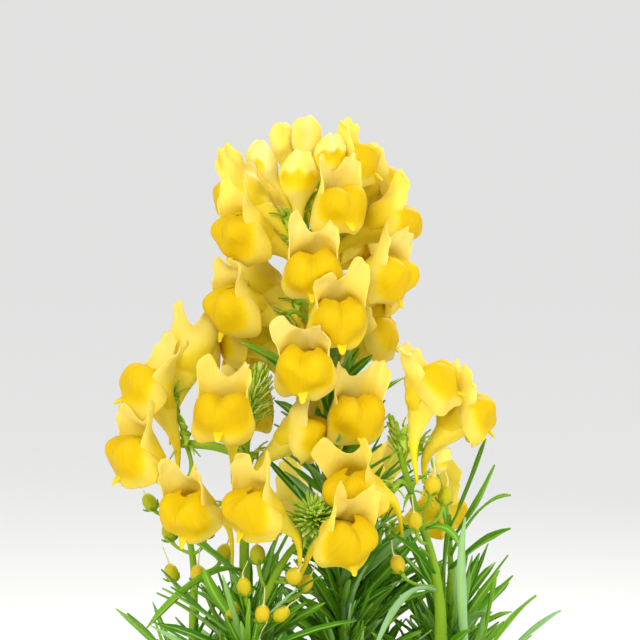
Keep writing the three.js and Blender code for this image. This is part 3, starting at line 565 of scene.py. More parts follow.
def lip_section(degrees, v):
    """How far out and how high the lower lip is at each turn and step, without a corner at the middle."""
    turns = np.array(list(LIP_SECTIONS))
    steps = [np.array([np.interp(v, LIP_STEPS, LIP_SECTIONS[t][k]) for t in turns]) for k in (0, 1)]
    share = np.interp(degrees, turns, np.arange(len(turns)))
    i = np.minimum(share.astype(int), len(turns) - 2)
    w = share - i
    w = np.where(i == 0, w * w * (3 - 2 * w), w)
    columns = np.arange(len(v))
    return [step[i, columns] * (1 - w) + step[i + 1, columns] * w for step in steps]


def open_flower():
    """An open flower: the tube with its spur, the lower lip with its palate and tongue, and the upper lip."""
    tube = drawn_up(16, FLOWER_RINGS)
    p = read_corners(tube)
    z = p[:, 2]
    notes(tube, warmth=0.36 + 0.26 * smooth(2, -8, z), across=p[:, 0] / 5.5, along=z / 20, thin=0.25)

    # The lower lip is one soft pillow: two humps close the throat, and two wide lobes hang from them.
    lip = sheet(26, 12)
    p = read_corners(lip)
    turn, v = np.radians(122) * p[:, 0], p[:, 1]
    out, z = lip_section(np.abs(np.degrees(turn)), v)
    out = out + 0.42 * v ** 3 * np.sin(5 * turn + 0.6)
    axis = np.interp(v, [0, 0.28], [THROAT_AXIS, LIP_AXIS])
    hung(lip, out * np.sin(turn), axis + out * np.cos(turn), z)
    side = np.abs(p[:, 0])
    notes(lip, warmth=0.88 - 0.06 * v - 0.56 * smooth(0.6, 0.8, v + 0.32 * smooth(0.4, 0.85, side)),
          across=p[:, 0], along=v, thin=0.5 + 0.5 * v)
    thickened(lip, 0.26)

    # The small middle lobe stands forward like a tongue.
    tongue = sheet(4, 6)
    p = read_corners(tongue)
    u, s = p[:, 0], np.sin(p[:, 1] * math.pi / 2)
    hung(tongue, 1.3 * u * np.sqrt(1.01 - s ** 2), 8.3 + 3.2 * s - 0.5 * u * u,
         10.9 - 0.3 * s - 0.7 * s * s + 0.6 * u * u * (1 - s))
    notes(tongue, warmth=0.74 - 0.3 * s, across=u, along=s, thin=0.6)
    thickened(tongue, 0.8)

    # The upper lip is a hood, wrapped round the back of the tube and split into two rounded ears.
    hood = sheet(20, 10)
    p = read_corners(hood)
    u, v = p[:, 0], p[:, 1]
    beside = np.abs(u)
    ears = np.exp(-np.abs((beside - 0.42) / np.where(beside < 0.42, 0.24, 0.54)) ** 2.5)
    z = 5 + (12.0 + 5.2 * ears + 0.8 * beside ** 2) * v
    marks = [5, 7, 9.5, 12.5, 15.5, 18, 20, 22.5]
    wrap = np.interp(z, marks, [86, 90, 97, 106, 112, 113, 110, 104])
    angle = np.radians(wrap * (1 - 0.2 * smooth(0.55, 1, v) * u ** 4)) * u
    wide = np.interp(z, marks, [2.7, 3.7, 4.5, 5.0, 5.0, 4.8, 4.8, 5.2])
    deep = np.interp(z, marks, [2.6, 3.4, 4.0, 4.3, 4.2, 4.1, 4.3, 5.2])
    middle = np.interp(z, marks, [1.95, 2.35, 2.7, 2.9, 2.5, 1.8, 1.3, 0.7])
    crease = 0.35 * np.exp(-(u / 0.1) ** 2) * smooth(9, 15, z)
    roll = 0.6 * smooth(0.8, 1, v) * smooth(0.1, 0.3, beside) + 0.3 * v ** 3 * np.sin(8 * u + 1)
    hung(hood, (wide + roll) * np.sin(angle), middle + crease - (deep + roll) * np.cos(angle), z)
    # The hood pales upwards to its ears: partly the upper lip's own lighter yellow, partly a painted
    # highlight where the ears face the light.
    notes(hood, warmth=0.5 - 0.34 * smooth(0.1, 0.8, v) + 0.08 * beside * (1 - v), across=u, along=v,
          thin=0.45 + 0.55 * v)
    thickened(hood, 0.26)
    return joined([tube, lip, tongue, hood], 1)


BUD_RINGS = [
    (-11.3, 1.7, 0.12, 0.12), (-10.9, 1.65, 0.34, 0.32), (-8, 1.1, 0.5, 0.5), (-4, 0.5, 0.75, 0.75),
    (-1, 0.4, 1.05, 1.1), (2, 0.7, 1.2, 1.35), (4.2, 1.0, 1.55, 1.9), (6.2, 1.3, 2.35, 2.9),
    (8.4, 1.6, 3.2, 4.0), (11, 1.65, 3.55, 4.45), (13.4, 1.4, 3.3, 4.2), (15.4, 1.0, 2.6, 3.3),
    (16.9, 0.7, 1.6, 2.2), (17.7, 0.5, 0.6, 1.0)]


def closed_bud():
    """A closed flower: a plump bulb whose upper lip is folded down over the lower one like a little roof."""
    marks, *columns = zip(*BUD_RINGS)
    heights = list(marks[:8]) + [7 + 0.62 * k for k in range(17)] + [17.35, 17.7]
    # Each ring is a mean over a short stretch, so that the bulb has no corners along its length.
    stretch = np.array([-0.8, -0.4, 0, 0.4, 0.8])
    rings = []
    for height in heights:
        around = height + stretch * (6.5 < height < 17)
        rings.append((height, *(float(np.interp(around, marks, column).mean()) for column in columns)))
    body = drawn_up(28, rings)
    p = read_corners(body)
    x, f, z = p[:, 0], -p[:, 1], p[:, 2]
    front = smooth(1.2, 3.4, f)
    roof = 13.2 + 0.75 * np.cos(1.9 * x) - 0.1 * x * x
    below = smooth(0.4, -0.4, z - roof) * smooth(5, 11, z)
    seam = np.exp(-(x / 0.55) ** 2) * smooth(6, 13, z)
    notch = np.exp(-(x / 0.75) ** 2) * smooth(14.5, 17.7, z)
    plump = 1 + 0.045 * np.cos(3 * np.arctan2(x, f - 1)) * smooth(5, 10, z)
    hung(body, x * plump, 1 + (f - 1) * plump - front * (1.05 * below + 0.5 * seam), z - 1.3 * notch)
    warmth = 0.2 + 0.26 * smooth(6, -4, z) + 0.6 * front * smooth(0.3, -0.9, z - roof) * smooth(7, 11.5, z)
    warmth = warmth + 0.06 * np.sin(1.3 * x) * smooth(6, 9, z)
    notes(body, warmth=warmth, across=x / 4, along=z / 18, thin=0.5)
    return joined([body], 1)


LONG_BLADE = taken(sheet(4, 10, 1))
SMALL_BLADE = taken(sheet(2, 6, 1))
BRACT = taken(sheet(2, 4, 1))
STALK = taken(drawn_up(8, [(k / 12, 0, 1, 1) for k in range(13)]))
LONG_STALK = taken(drawn_up(9, [(k / 60, 0, 1, 1) for k in range(61)]))


def capsule_shape():
    """A young seed capsule with its style: two swollen halves that meet in a shallow furrow."""
    rings = [(-2.3, 0.5, 0.5), (-2.0, 1.2, 1.2), (-1.2, 1.85, 1.9), (0, 2.1, 2.15), (1.1, 1.95, 2.0),
             (1.9, 1.45, 1.5), (2.35, 0.8, 0.8), (2.5, 0.35, 0.35), (2.8, 0.2, 0.2), (4.5, 0.15, 0.15),
             (6.3, 0.14, 0.14), (6.6, 0.24, 0.24)]
    body = drawn_up(12, [(height, 0, depth, width) for height, depth, width in rings])
    p = read_corners(body)
    furrow = 1 - 0.16 * np.exp(-(p[:, 0] / 0.55) ** 2) * smooth(0.5, 1.2, np.abs(p[:, 1]))
    reshaped(body, p * np.column_stack([np.ones(len(p)), furrow, np.ones(len(p))]))
    return taken(joined([body], 1))


CAPSULE = capsule_shape()


# Green shoots, one piece for each stem.

SKIN, BLADE, TIP, FRUIT = range(4)


class Growth:
    """The corners, the faces and the notes of a piece, gathered part by part in millimetres."""

    def __init__(self):
        self.corners, self.faces, self.finish, self.notes, self.count = [], [], [], [], 0

    def add(self, corners, faces, finish, across, along, tone):
        self.corners.append(corners)
        self.faces += [tuple(i + self.count for i in face) for face in faces]
        self.finish += [finish] * len(faces)
        n = len(corners)
        self.notes.append(np.column_stack([np.broadcast_to(v, n) for v in (across, along, tone)]))
        self.count += n

    def blade(self, shape, curve, width, profile, tone, thickness=0.45, finish=BLADE, fold=0.22, wave=0.0,
              roll=0.0):
        """A leaf bent along a curve, folded upwards from its midrib and rolled over by some radians."""
        p, faces = shape
        u, v, w = p[:, 0], p[:, 1], p[:, 2]
        way = slope(*curve, v)
        way /= np.linalg.norm(way, axis=1)[:, None]
        side = np.cross(way, [0, 0, 1.0])
        length = np.linalg.norm(side, axis=1)[:, None]
        side = np.where(length < 0.05, [1.0, 0, 0], side / np.maximum(length, 1e-6))
        up = np.cross(side, way)
        over = (roll * smooth(0, 0.5, v))[:, None]
        side, up = side * np.cos(over) + up * np.sin(over), up * np.cos(over) - side * np.sin(over)
        half = width / 2 * np.interp(v, *profile)
        lift = fold * half * u * u + wave * half * u * np.sin(9 * v + 5 * tone)
        body = w * thickness * (1 - 0.6 * u * u) + thickness / 2
        corners = bent(*curve, v) + side * (half * u)[:, None] + up * (lift + body)[:, None]
        self.add(corners, faces, finish, u, v, tone)

    def stalk(self, shape, points, radii, finish=SKIN, tone=0.5):
        """A round stalk along points, with a radius for each share of its length."""
        p, faces = shape
        points = np.asarray(points, float)
        share = p[:, 2] * (len(points) - 1)
        i = np.minimum(share.astype(int), len(points) - 2)
        w = (share - i)[:, None]
        at = points[i] * (1 - w) + points[i + 1] * w
        ways = np.gradient(points, axis=0)
        ways /= np.linalg.norm(ways, axis=1)[:, None]
        side = turned_side(arr(1, 0, 0) if abs(ways[0][0]) < 0.9 else arr(0, 0, 1), ways[0])
        sides = []
        for way in ways:
            side = turned_side(side, way)
            sides.append(side)
        sides = np.array(sides)
        s = sides[i] * (1 - w) + sides[i + 1] * w
        up = np.cross(ways[i] * (1 - w) + ways[i + 1] * w, s)
        r = np.interp(p[:, 2], np.linspace(0, 1, len(radii)), radii)[:, None]
        self.add(at + s * p[:, :1] * r + up * p[:, 1:2] * r, faces, finish, p[:, 0], p[:, 2], tone)

    def piece(self, name, materials):
        mesh = bpy.data.meshes.new(name)
        corners = np.concatenate(self.corners) * MM
        mesh.from_pydata(corners.tolist(), [], self.faces)
        mesh.polygons.foreach_set("material_index", self.finish)
        for material in materials:
            mesh.materials.append(material)
        values = np.concatenate(self.notes)
        for k, note in enumerate(("across", "along", "tone")):
            attribute = mesh.attributes.new(note, "FLOAT", "POINT")
            attribute.data.foreach_set("value", values[:, k].astype(np.float32))
        mesh.shade_smooth()
        return linked(name, mesh)


LEAF_PROFILE = ([0, 0.12, 0.4, 0.7, 0.9, 1], [0.55, 0.7, 1, 0.9, 0.62, 0.1])
SMALL_PROFILE = ([0, 0.25, 0.6, 0.85, 1], [0.6, 0.95, 1, 0.75, 0.12])
SEPAL_PROFILE = ([0, 0.25, 0.6, 1], [0.8, 1, 0.7, 0.06])
SEPAL_TIPS = [(0, -1.7, 4.0), (-3.1, -0.8, 2.4), (-1.7, -1.0, -3.6), (1.7, -1.0, -3.6), (3.1, -0.8, 2.4)]


def grow_calyx(growth, bloom, draw):
    """A flower's stalk with five narrow sepals behind the foot of its tube, and the bract below it."""
    axes, size, origin = bloom_frame(bloom)
    base, bend, end = stalk_bend(bloom)
    heart = placed(bloom, (0, -1.2, -0.4))
    points = list(bent(base, bend, end, np.linspace(0, 1, 9))) + [heart]
    growth.stalk(STALK, points, [0.62, 0.52, 0.5, 0.55, 0.75 * size, 1.0 * size], tone=0.55)
    for x, f, z in SEPAL_TIPS:
        tip = arr(x, f, z) * arr(draw(0.9, 1.15), 1, draw(0.9, 1.1))
        root = arr(x * 0.1, -2.0, -0.4 + (z + 0.4) * 0.1)
        bend_at = (root + tip) / 2 + arr(0, -0.9, 0)
        growth.blade(BRACT, [placed(bloom, q) for q in (root, bend_at, tip)], 1.75 * size, SEPAL_PROFILE,
                     draw(0.1, 0.6), 0.35, TIP)
    out = unit((bend - base) * arr(1, 1, 0) + arr(1e-4, 0, 0))
    reach = draw(3.5, 6.5)
    curve = [base, base + out * reach * 0.5 + arr(0, 0, 0.1), base + out * reach - arr(0, 0, reach * 0.5)]
    growth.blade(BRACT, curve, 1.3, SEPAL_PROFILE, draw(0.1, 0.6), 0.3, TIP)


def grow_capsule(growth, entry, draw):
    base, bend, top = capsule_bend(entry)
    axis = unit(slope(base, bend, top, 1.0))
    side = turned_side(arr(1, 0, 0), axis)
    up = np.cross(axis, side)
    points = bent(base, bend, top - axis * 2.0, np.linspace(0, 1, 9))
    growth.stalk(STALK, points, [0.5, 0.42, 0.45, 0.6], tone=0.6)
    p, faces = CAPSULE
    spin = draw(0, math.pi)
    s = side * math.cos(spin) + up * math.sin(spin)
    t = np.cross(axis, s)
    plump = draw(0.86, 1.0)
    style = smooth(2.4, 6.6, p[:, 2])[:, None] ** 2 * (side * draw(-1.6, 1.6) + up * draw(-1.6, 1.6))
    corners = top + p[:, :1] * s * plump + p[:, 1:2] * t * plump + p[:, 2:] * axis + style
    tone = draw(0, 0.75) + 1.2 * smooth(2.3, 2.8, p[:, 2])
    growth.add(corners, faces, FRUIT, p[:, 0] / 2, p[:, 2] / 6, tone)
    for k in range(5):
        a = 2 * math.pi * k / 5 + spin
        out = side * math.cos(a) + up * math.sin(a)
        low = top - axis * 2.1
        growth.blade(BRACT, [low + out * 0.3, low + out * 1.8 + axis * 0.3, low + out * 2.3 + axis * 1.5],
                     1.2, SEPAL_PROFILE, draw(0.4, 0.7), 0.35)


# Bristly growing tips: the stem, the number of bracts, length, width, spread in degrees, depth.
BRISTLES = [("left", 110, 5.6, 0.55, 82, 11), ("front", 104, 6.4, 1.05, 88, 4.5),
            ("right", 56, 3.2, 0.9, 48, 8.5), ("main", 22, 3.4, 0.9, 30, 7)]


def grow_tip(growth, name, count, length, width, spread, depth):
    points = STEM_POINTS[name]
    end = points[-1]
    axis = unit(end - points[-6])
    side = turned_side(arr(1, 0, 0), axis)
    up = np.cross(axis, side)
    draw = draws(STEMS[name]["seed"] + TIP_SEED)
    for i in range(count):
        share = i / (count - 1)
        a = math.radians(i * GOLDEN_ANGLE)
        base = end - axis * (depth * (1 - share) ** 1.2 - 0.2)
        out = side * math.cos(a) + up * math.sin(a)
        open_by = math.radians(spread * (1 - 0.8 * share ** 1.5) + draw(-8, 8))
        reach = length * draw(0.8, 1.12) * (1 - 0.45 * share ** 2)
        bend = base + axis * 0.3 * reach * math.cos(open_by) + out * 0.6 * reach * math.sin(open_by)
        tip = base + axis * reach * math.cos(open_by * 0.75) + out * reach * math.sin(open_by * 0.8)
        growth.blade(BRACT, (base, bend, tip), width, SMALL_PROFILE, draw(0, 1), 0.32, TIP)


def shoot(name, materials):
    """A stem with everything green that grows on it, and its capsules."""
    stem = STEMS[name]
    growth = Growth()
    draw = draws(stem["seed"] + SHOOT_SEED)
    r0, r1 = stem["radius"]
    growth.stalk(LONG_STALK, STEM_POINTS[name][::2], [r0, r0, (r0 + r1) / 2, r1, r1 * 0.9], tone=0.5)
    for branch in stem.get("branches", []):
        growth.stalk(STALK, [through(branch, i / 8) for i in range(9)], [1.1, 1.0], tone=0.7)
    for owner, curve, width, tone in leaves:
        if owner == name:
            growth.blade(LONG_BLADE, curve, width, LEAF_PROFILE, tone, wave=0.18, roll=draw(-1.1, 1.1))
    for owner, curve, width, tone in small_leaves:
        if owner == name:
            growth.blade(SMALL_BLADE, curve, width, SMALL_PROFILE, tone, 0.35, roll=draw(-1.3, 1.3))
    for bloom in BLOOMS.values():
        if bloom["stem"] == name:
            grow_calyx(growth, bloom, draw)
    for entry in CAPSULES:
        if entry[0] == name:
            grow_capsule(growth, entry, draw)
    for tip in BRISTLES:
        if tip[0] == name:
            grow_tip(growth, *tip)
    return growth.piece("shoot_" + name, materials)


# Materials.

def linear(colour):
    """A hex colour as it is seen, turned to the linear values that a shader takes."""
    parts = [int(colour[i:i + 2], 16) / 255 for i in (1, 3, 5)]
    return tuple(c / 12.92 if c <= 0.04045 else ((c + 0.055) / 1.055) ** 2.4 for c in parts) + (1.0,)


def add_node(tree, kind, inputs=None, stops=None, out=0, **settings):
    """Adds a node and gives back one of its outputs. An input is a value, or an output to link."""
    node = tree.nodes.new("ShaderNode" + kind)
    for key, value in settings.items():
        setattr(node, key, value)
    if stops:
        ramp = node.color_ramp
        while len(ramp.elements) < len(stops):
            ramp.elements.new(0.5)
        for element, (place, colour) in zip(ramp.elements, stops):
            element.position = place
            element.color = linear(colour)
    for key, value in (inputs or {}).items():
        if isinstance(value, bpy.types.NodeSocket):
            tree.links.new(value, node.inputs[key])
        else:
            node.inputs[key].default_value = value
    return node.outputs[out] if len(node.outputs) else None


def new_material(name):
    material = bpy.data.materials.new(name)
    material.use_nodes = True
    material.node_tree.nodes.clear()
    return material, material.node_tree


def finished(material, surface):
    add_node(material.node_tree, "OutputMaterial", {"Surface": surface})
    return material


def place_of(tree):
    return add_node(tree, "TexCoord", out="Object")


def note_of(tree, name):
    return add_node(tree, "Attribute", out="Fac", attribute_name=name)


def reckoned(tree, operation, *values):
    return add_node(tree, "Math", dict(enumerate(values)), operation=operation)


def stretched(tree, vector, scale):
    return add_node(tree, "Mapping", {"Vector": vector, "Scale": scale})


def ribbed(tree, across, scale):
    """Places across and along a leaf or a petal, stretched so that a noise runs along it."""
    return stretched(tree, add_node(tree, "CombineXYZ", {"X": across, "Y": note_of(tree, "along")}), scale)


def noise(tree, at, scale, detail, rough=0.5):
    return add_node(tree, "TexNoise", {"Vector": at, "Scale": scale, "Detail": detail, "Roughness": rough})


def coloured(tree, level, stops):
    return add_node(tree, "ValToRGB", {"Fac": level}, stops=stops)


def mixed(tree, share, colour, other):
    return add_node(tree, "Mix", {0: share, 6: colour, 7: linear(other)}, out=2, data_type="RGBA")


def bumped(tree, height, strength, depth):
    return add_node(tree, "Bump", {"Height": height, "Strength": strength, "Distance": depth})


def satin_petal():
    """Fresh petal: a satin skin that lets light through, pale on the lips, with some painted highlight in the
    cream of the hood's ears, and deep gold on the palate.
    """
    material, tree = new_material("fresh satin petal")
    # Fine veins run up the petal: about 30 across its width, drawn a little coarser so that they show.
    veins = noise(tree, ribbed(tree, note_of(tree, "across"), (14, 1.3, 1)), 1.0, 3.0, 0.6)
    mottle = noise(tree, place_of(tree), 260.0, 2.0)
    deeper = reckoned(tree, "MULTIPLY_ADD", veins, 0.26, note_of(tree, "warmth"))
    deeper = reckoned(tree, "MULTIPLY_ADD", mottle, 0.1, deeper)
    # The palest, creamiest stop, on the ears of the hood, is partly painted highlight.
    colour = coloured(tree, reckoned(tree, "SUBTRACT", deeper, 0.18), [
        (0.0, "#FCF0B0"), (0.2, "#FBE974"), (0.4, "#F9E238"), (0.62, "#F6D90E"), (0.82, "#EECB00"),
        (1.0, "#DFB900")])
    bump = bumped(tree, veins, 0.3, 0.0004)
    skin = add_node(tree, "BsdfPrincipled", {
        "Base Color": colour, "Roughness": 0.5, "IOR": 1.4, "Specular IOR Level": 0.2, "Sheen Weight": 0.02,
        "Sheen Roughness": 0.5, "Normal": bump})
    # Light that comes through the petal is a fresher, greener yellow than what its skin sends back.
    glow = add_node(tree, "BsdfTranslucent", {"Color": mixed(tree, 0.5, colour, "#F8F268"), "Normal": bump})
    share = reckoned(tree, "MULTIPLY", note_of(tree, "thin"), 0.5)
    return finished(material, add_node(tree, "MixShader", {0: share, 1: skin, 2: glow}))


def green_skin(name, stops, rough, ribs, midrib=None):
    """A waxy green skin, lighter along the midrib where it has one, with faint ribs along its length."""
    material, tree = new_material(name)
    mottle = noise(tree, place_of(tree), 180.0, 3.0)
    level = reckoned(tree, "MULTIPLY_ADD", mottle, 0.3, note_of(tree, "tone"))
    colour = coloured(tree, reckoned(tree, "SUBTRACT", level, 0.15), stops)
    across = note_of(tree, "across")
    if midrib:
        off = reckoned(tree, "ABSOLUTE", across)
        line = add_node(tree, "MapRange", {"Value": off, "From Min": 0.3, "From Max": 0.0})
        colour = mixed(tree, line, colour, midrib)
    ridges = noise(tree, ribbed(tree, across, (ribs, 1.0, 1)), 1.0, 2.0)
    skin = add_node(tree, "BsdfPrincipled", {
        "Base Color": colour, "Roughness": rough, "IOR": 1.42, "Specular IOR Level": 0.22,
        "Normal": bumped(tree, ridges, 0.25, 0.0003)})
    glow = add_node(tree, "BsdfTranslucent", {"Color": colour})
    return finished(material, add_node(tree, "MixShader", {0: 0.26, 1: skin, 2: glow}))


def fired_clay():
    """Unglazed terracotta: matt, finely gritty, with darker damp patches and a lime bloom."""
    material, tree = new_material("unglazed terracotta")
    place = place_of(tree)
    rings = noise(tree, stretched(tree, place, (6, 6, 190)), 1.0, 4.0)
    level = reckoned(tree, "MULTIPLY_ADD", rings, 0.35, noise(tree, place, 28.0, 6.0, 0.6))
    colour = coloured(tree, level, [(0.35, "#8F4A2A"), (0.6, "#B4623A"), (0.85, "#C9774B"), (1.0, "#D79A78")])
    height = reckoned(tree, "MULTIPLY_ADD", rings, 0.8, noise(tree, place, 900.0, 3.0))
    return finished(material, add_node(tree, "BsdfPrincipled", {
        "Base Color": colour, "Roughness": 0.86, "IOR": 1.5, "Specular IOR Level": 0.25,
        "Normal": bumped(tree, height, 0.35, 0.0005)}))


def compost():
    """Dark peaty compost: loose, crumbly and dull, with paler fibres, and painted shade in its hollows."""
    material, tree = new_material("moist potting compost")
    crumbs = noise(tree, place_of(tree), 420.0, 6.0, 0.7)
    # The same noise is the bump below, so the hollows between the crumbs take the darkest colours: painted
    # shade.
    colour = coloured(tree, crumbs, [
        (0.3, "#1C130C"), (0.5, "#33241A"), (0.62, "#4A3626"), (0.75, "#6B5038")])
    return finished(material, add_node(tree, "BsdfPrincipled", {
        "Base Color": colour, "Roughness": 0.95, "Specular IOR Level": 0.15,
        "Normal": bumped(tree, crumbs, 0.8, 0.0012)}))


petal = satin_petal()
stem_skin = green_skin("smooth waxy stem", [(0.0, "#78A418"), (0.5, "#96BE2A"), (1.0, "#B6D74C")], 0.42, 9)
leaf_skin = green_skin("waxy narrow leaf", [(0.0, "#448608"), (0.4, "#62A212"), (0.75, "#86BC2E"),
                                            (1.0, "#A2CC92")], 0.45, 8, "#B0D65C")
tip_skin = green_skin("young bract", [(0.0, "#B0D236"), (0.6, "#CCE654"), (1.0, "#E8F29A")], 0.5, 4)
fruit_skin = green_skin("unripe capsule", [(0.0, "#B2BC1E"), (0.35, "#DCCA20"), (0.8, "#F0CE30"),
                                           (1.0, "#E9DFA6")], 0.3, 3)
clay, soil_mix = fired_clay(), compost()


# Pieces.

def own(piece, slot, *nodes):
    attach(piece, "root")
    if nodes:
        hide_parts(*nodes)
    return piece


green = [stem_skin, leaf_skin, tip_skin, fruit_skin]
for name in STEMS:
    own(shoot(name, green), "leaf_green", "stem_" + name)

flower, bud = open_flower(), closed_bud()
# How far round a flower others are looked for, how far petals stay apart, how far a bend is evened
# out, how near a corner has to be to be looked at again, and how many times the bends are made.
BESIDE, PETAL_GAP, EVEN_REACH, STILL_NEAR, BEND_ROUNDS = 1.5, 0.25, 0.8, 0.6, 5


def plain_solid(name):
    """A flower's plain solid, to measure distances to, and the box round it with its surroundings."""
    low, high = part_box("bloom_" + name)
    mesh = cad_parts["bloom_" + name].data
    corners = [v.co / MM for v in mesh.vertices]
    tree = BVHTree.FromPolygons(corners, [tuple(face.vertices) for face in mesh.polygons])
    return tree, arr(*low) / MM - BESIDE, arr(*high) / MM + BESIDE


SOLIDS = {name: plain_solid(name) for name in BLOOMS}


def bent_clear(name, p):
    """Bends petals clear of the flowers beside them: each keeps to its own side of the way between them."""
    mine = SOLIDS[name][0]
    nearby = [(tree, np.nonzero(((p > low) & (p < high)).all(1))[0])
              for other, (tree, low, high) in SOLIDS.items() if other != name]
    for _ in range(BEND_ROUNDS):
        moves, still_near = {}, []
        for tree, corners in nearby:
            close = []
            for k in corners:
                at = Vector(p[k])
                mine_at, _, _, to_mine = mine.find_nearest(at)
                over = PETAL_GAP + to_mine - tree.find_nearest(at)[3]
                if over > -STILL_NEAR:
                    close.append(k)
                if over > 0 and to_mine > 0:
                    moves[k] = (mine_at - at) * min(1, 0.5 * over / to_mine)
            still_near.append((tree, close))
        nearby = still_near
        if not moves:
            break
        p = p + evened(p, moves)
    return p


def evened(p, moves):
    """Evens out moves of some corners over their surroundings, so that both faces of a petal go together."""
    places = KDTree(len(moves))
    for k in moves:
        places.insert(Vector(p[k]), int(k))
    places.balance()
    moved = p[list(moves)]
    around = ((p > moved.min(0) - EVEN_REACH) & (p < moved.max(0) + EVEN_REACH)).all(1)
    shift = np.zeros_like(p)
    for k in np.nonzero(around)[0]:
        found = places.find_range(Vector(p[k]), EVEN_REACH)
        if found:
            weights = [1 - (far / EVEN_REACH) ** 2 for _, _, far in found]
            pulls = [moves[i] * weight for (_, i, _), weight in zip(found, weights)]
            shift[k] = sum(pulls, Vector()) / sum(weights) * max(weights)
    return shift


def bloom_piece(name, bloom, pattern, seed):
    """A copy of the flower or the bud, a little different each time, set in its place."""
    mesh = pattern.data.copy()
    mesh.name = "petals_" + name
    piece = linked(mesh.name, mesh)
    p = read_corners(piece)
    x, f, z = p[:, 0].copy(), -p[:, 1], p[:, 2].copy()
    draw = draws(seed)
    swing = bloom["hook"] - SPUR_HOOK
    f = f + np.where(z < 0, swing * (z / SPUR_LENGTH) ** 2, 0)
    x = x + draw(-0.9, 0.9) * np.where(z < 0, (z / SPUR_LENGTH) ** 2, 0)
    # Each ear of the upper lip and each side of the lower one goes its own way.
    right = smooth(-1.5, 1.5, x)
    for side in (1 - right, right):
        ear = smooth(14, 22, z) * smooth(5, 1, f) * side
        f = f + ear * draw(-2.3, 0.9)
        x = x * (1 + ear * draw(-0.16, 0.3))
        z = z + ear * (draw(-2.2, 0.3) + 0.55 * np.sin(1.9 * x + 1.7 * f + draw(0, 6)))
        lobe = smooth(12, 5, z) * smooth(4, 7, np.hypot(x, f - LOBE_AXIS)) * side
        round_the_lip = np.arctan2(x, f - LIP_AXIS)
        z = z + lobe * (draw(-0.8, 1.3) + 0.6 * np.sin(5.5 * round_the_lip + draw(0, 6)))
        grow = 1 + lobe * draw(-0.05, 0.12)
        x, f = x * grow, LOBE_AXIS + (f - LOBE_AXIS) * grow
    if bloom["bud"]:
        x = x + draw(-0.9, 0.9) * smooth(9, 18, z) ** 2
        f = f + draw(-0.8, 1.0) * smooth(9, 18, z) ** 2
    phase, rate = draw(0, 6.3), draw(0.5, 0.8)
    wobble = np.sin(rate * x + phase) * np.sin(rate * z + 1.7 * phase) * smooth(2, 9, z)
    f = f + 0.6 * wobble
    fuller = 1 + 0.13 * smooth(2, 10, z)
    x, f = x * fuller, 3 + (f - 3) * fuller
    twist = math.radians(draw(-6, 6)) * smooth(4, 18, z)
    x, f = x * np.cos(twist) - f * np.sin(twist) * 0.4, f
    axes, _, origin = bloom_frame(bloom)
    reshaped(piece, bent_clear(name, np.column_stack([x, f, z]) @ axes + origin) * MM)
    warmth = mesh.attributes["warmth"]
    value = np.empty(len(mesh.vertices), np.float32)
    warmth.data.foreach_get("value", value)
    warmth.data.foreach_set("value", value + draw(-0.05, 0.05))
    mesh.materials.clear()
    mesh.materials.append(petal)
    return piece


for number, (name, bloom) in enumerate(BLOOMS.items()):
    piece = bloom_piece(name, bloom, bud if bloom["bud"] else flower,
                        BLOOM_SEED + BLOOM_SEED_STEP * number)
    own(piece, "petal_yellow", "bloom_" + name)
for pattern in (flower, bud):
    put_away(pattern)


def clay_pot():
    """A thrown pot, drawn up from its foot, over the rim and down again to its floor."""
    rim_foot = POT_HEIGHT - RIM_HEIGHT
    shoulder = POT_RADIUS - 2 - RIM_STEP
    mouth = POT_RADIUS - POT_WALL
    inner_foot = FOOT_RADIUS - POT_WALL
    profile = [(0, FOOT_RADIUS - 1.2), (0.9, FOOT_RADIUS), (14, FOOT_RADIUS + 2.6)]
    widening = shoulder - FOOT_RADIUS
    profile += [(h, FOOT_RADIUS + widening * h / rim_foot) for h in (30, 48, 66, rim_foot - 1.2)]
    profile += [(rim_foot - 0.6, shoulder + 0.4), (rim_foot + 0.2, shoulder + RIM_STEP - 0.6),
                (rim_foot + 1.2, shoulder + RIM_STEP), (98, POT_RADIUS - 1.1), (106.5, POT_RADIUS - 0.2),
                (108.6, POT_RADIUS - 0.2), (109.7, POT_RADIUS - 1.1), (POT_HEIGHT, POT_RADIUS - 2.2),
                (109.8, mouth + 1.4), (108.8, mouth + 0.3), (106.5, mouth), (96, mouth - 2.3),
                (50, mouth - 12.3), (FLOOR_THICKNESS + 1, inner_foot), (FLOOR_THICKNESS, inner_foot - 2)]
    piece = drawn_up(96, [(h, 0, r, r) for h, r in profile])
    p = read_corners(piece)
    turn = np.arctan2(p[:, 1], p[:, 0])
    sway = 1 + 0.0022 * np.sin(2 * turn + p[:, 2] / 30) + 0.0012 * np.sin(5 * turn - p[:, 2] / 17) - 0.0034
    reshaped(piece, np.column_stack([p[:, 0] * sway, p[:, 1] * sway, p[:, 2]]) * MM)
    piece.name = piece.data.name = "clay_pot"
    piece.data.shade_smooth()
    piece.data.materials.append(clay)
    return piece


CRUMBS = 420


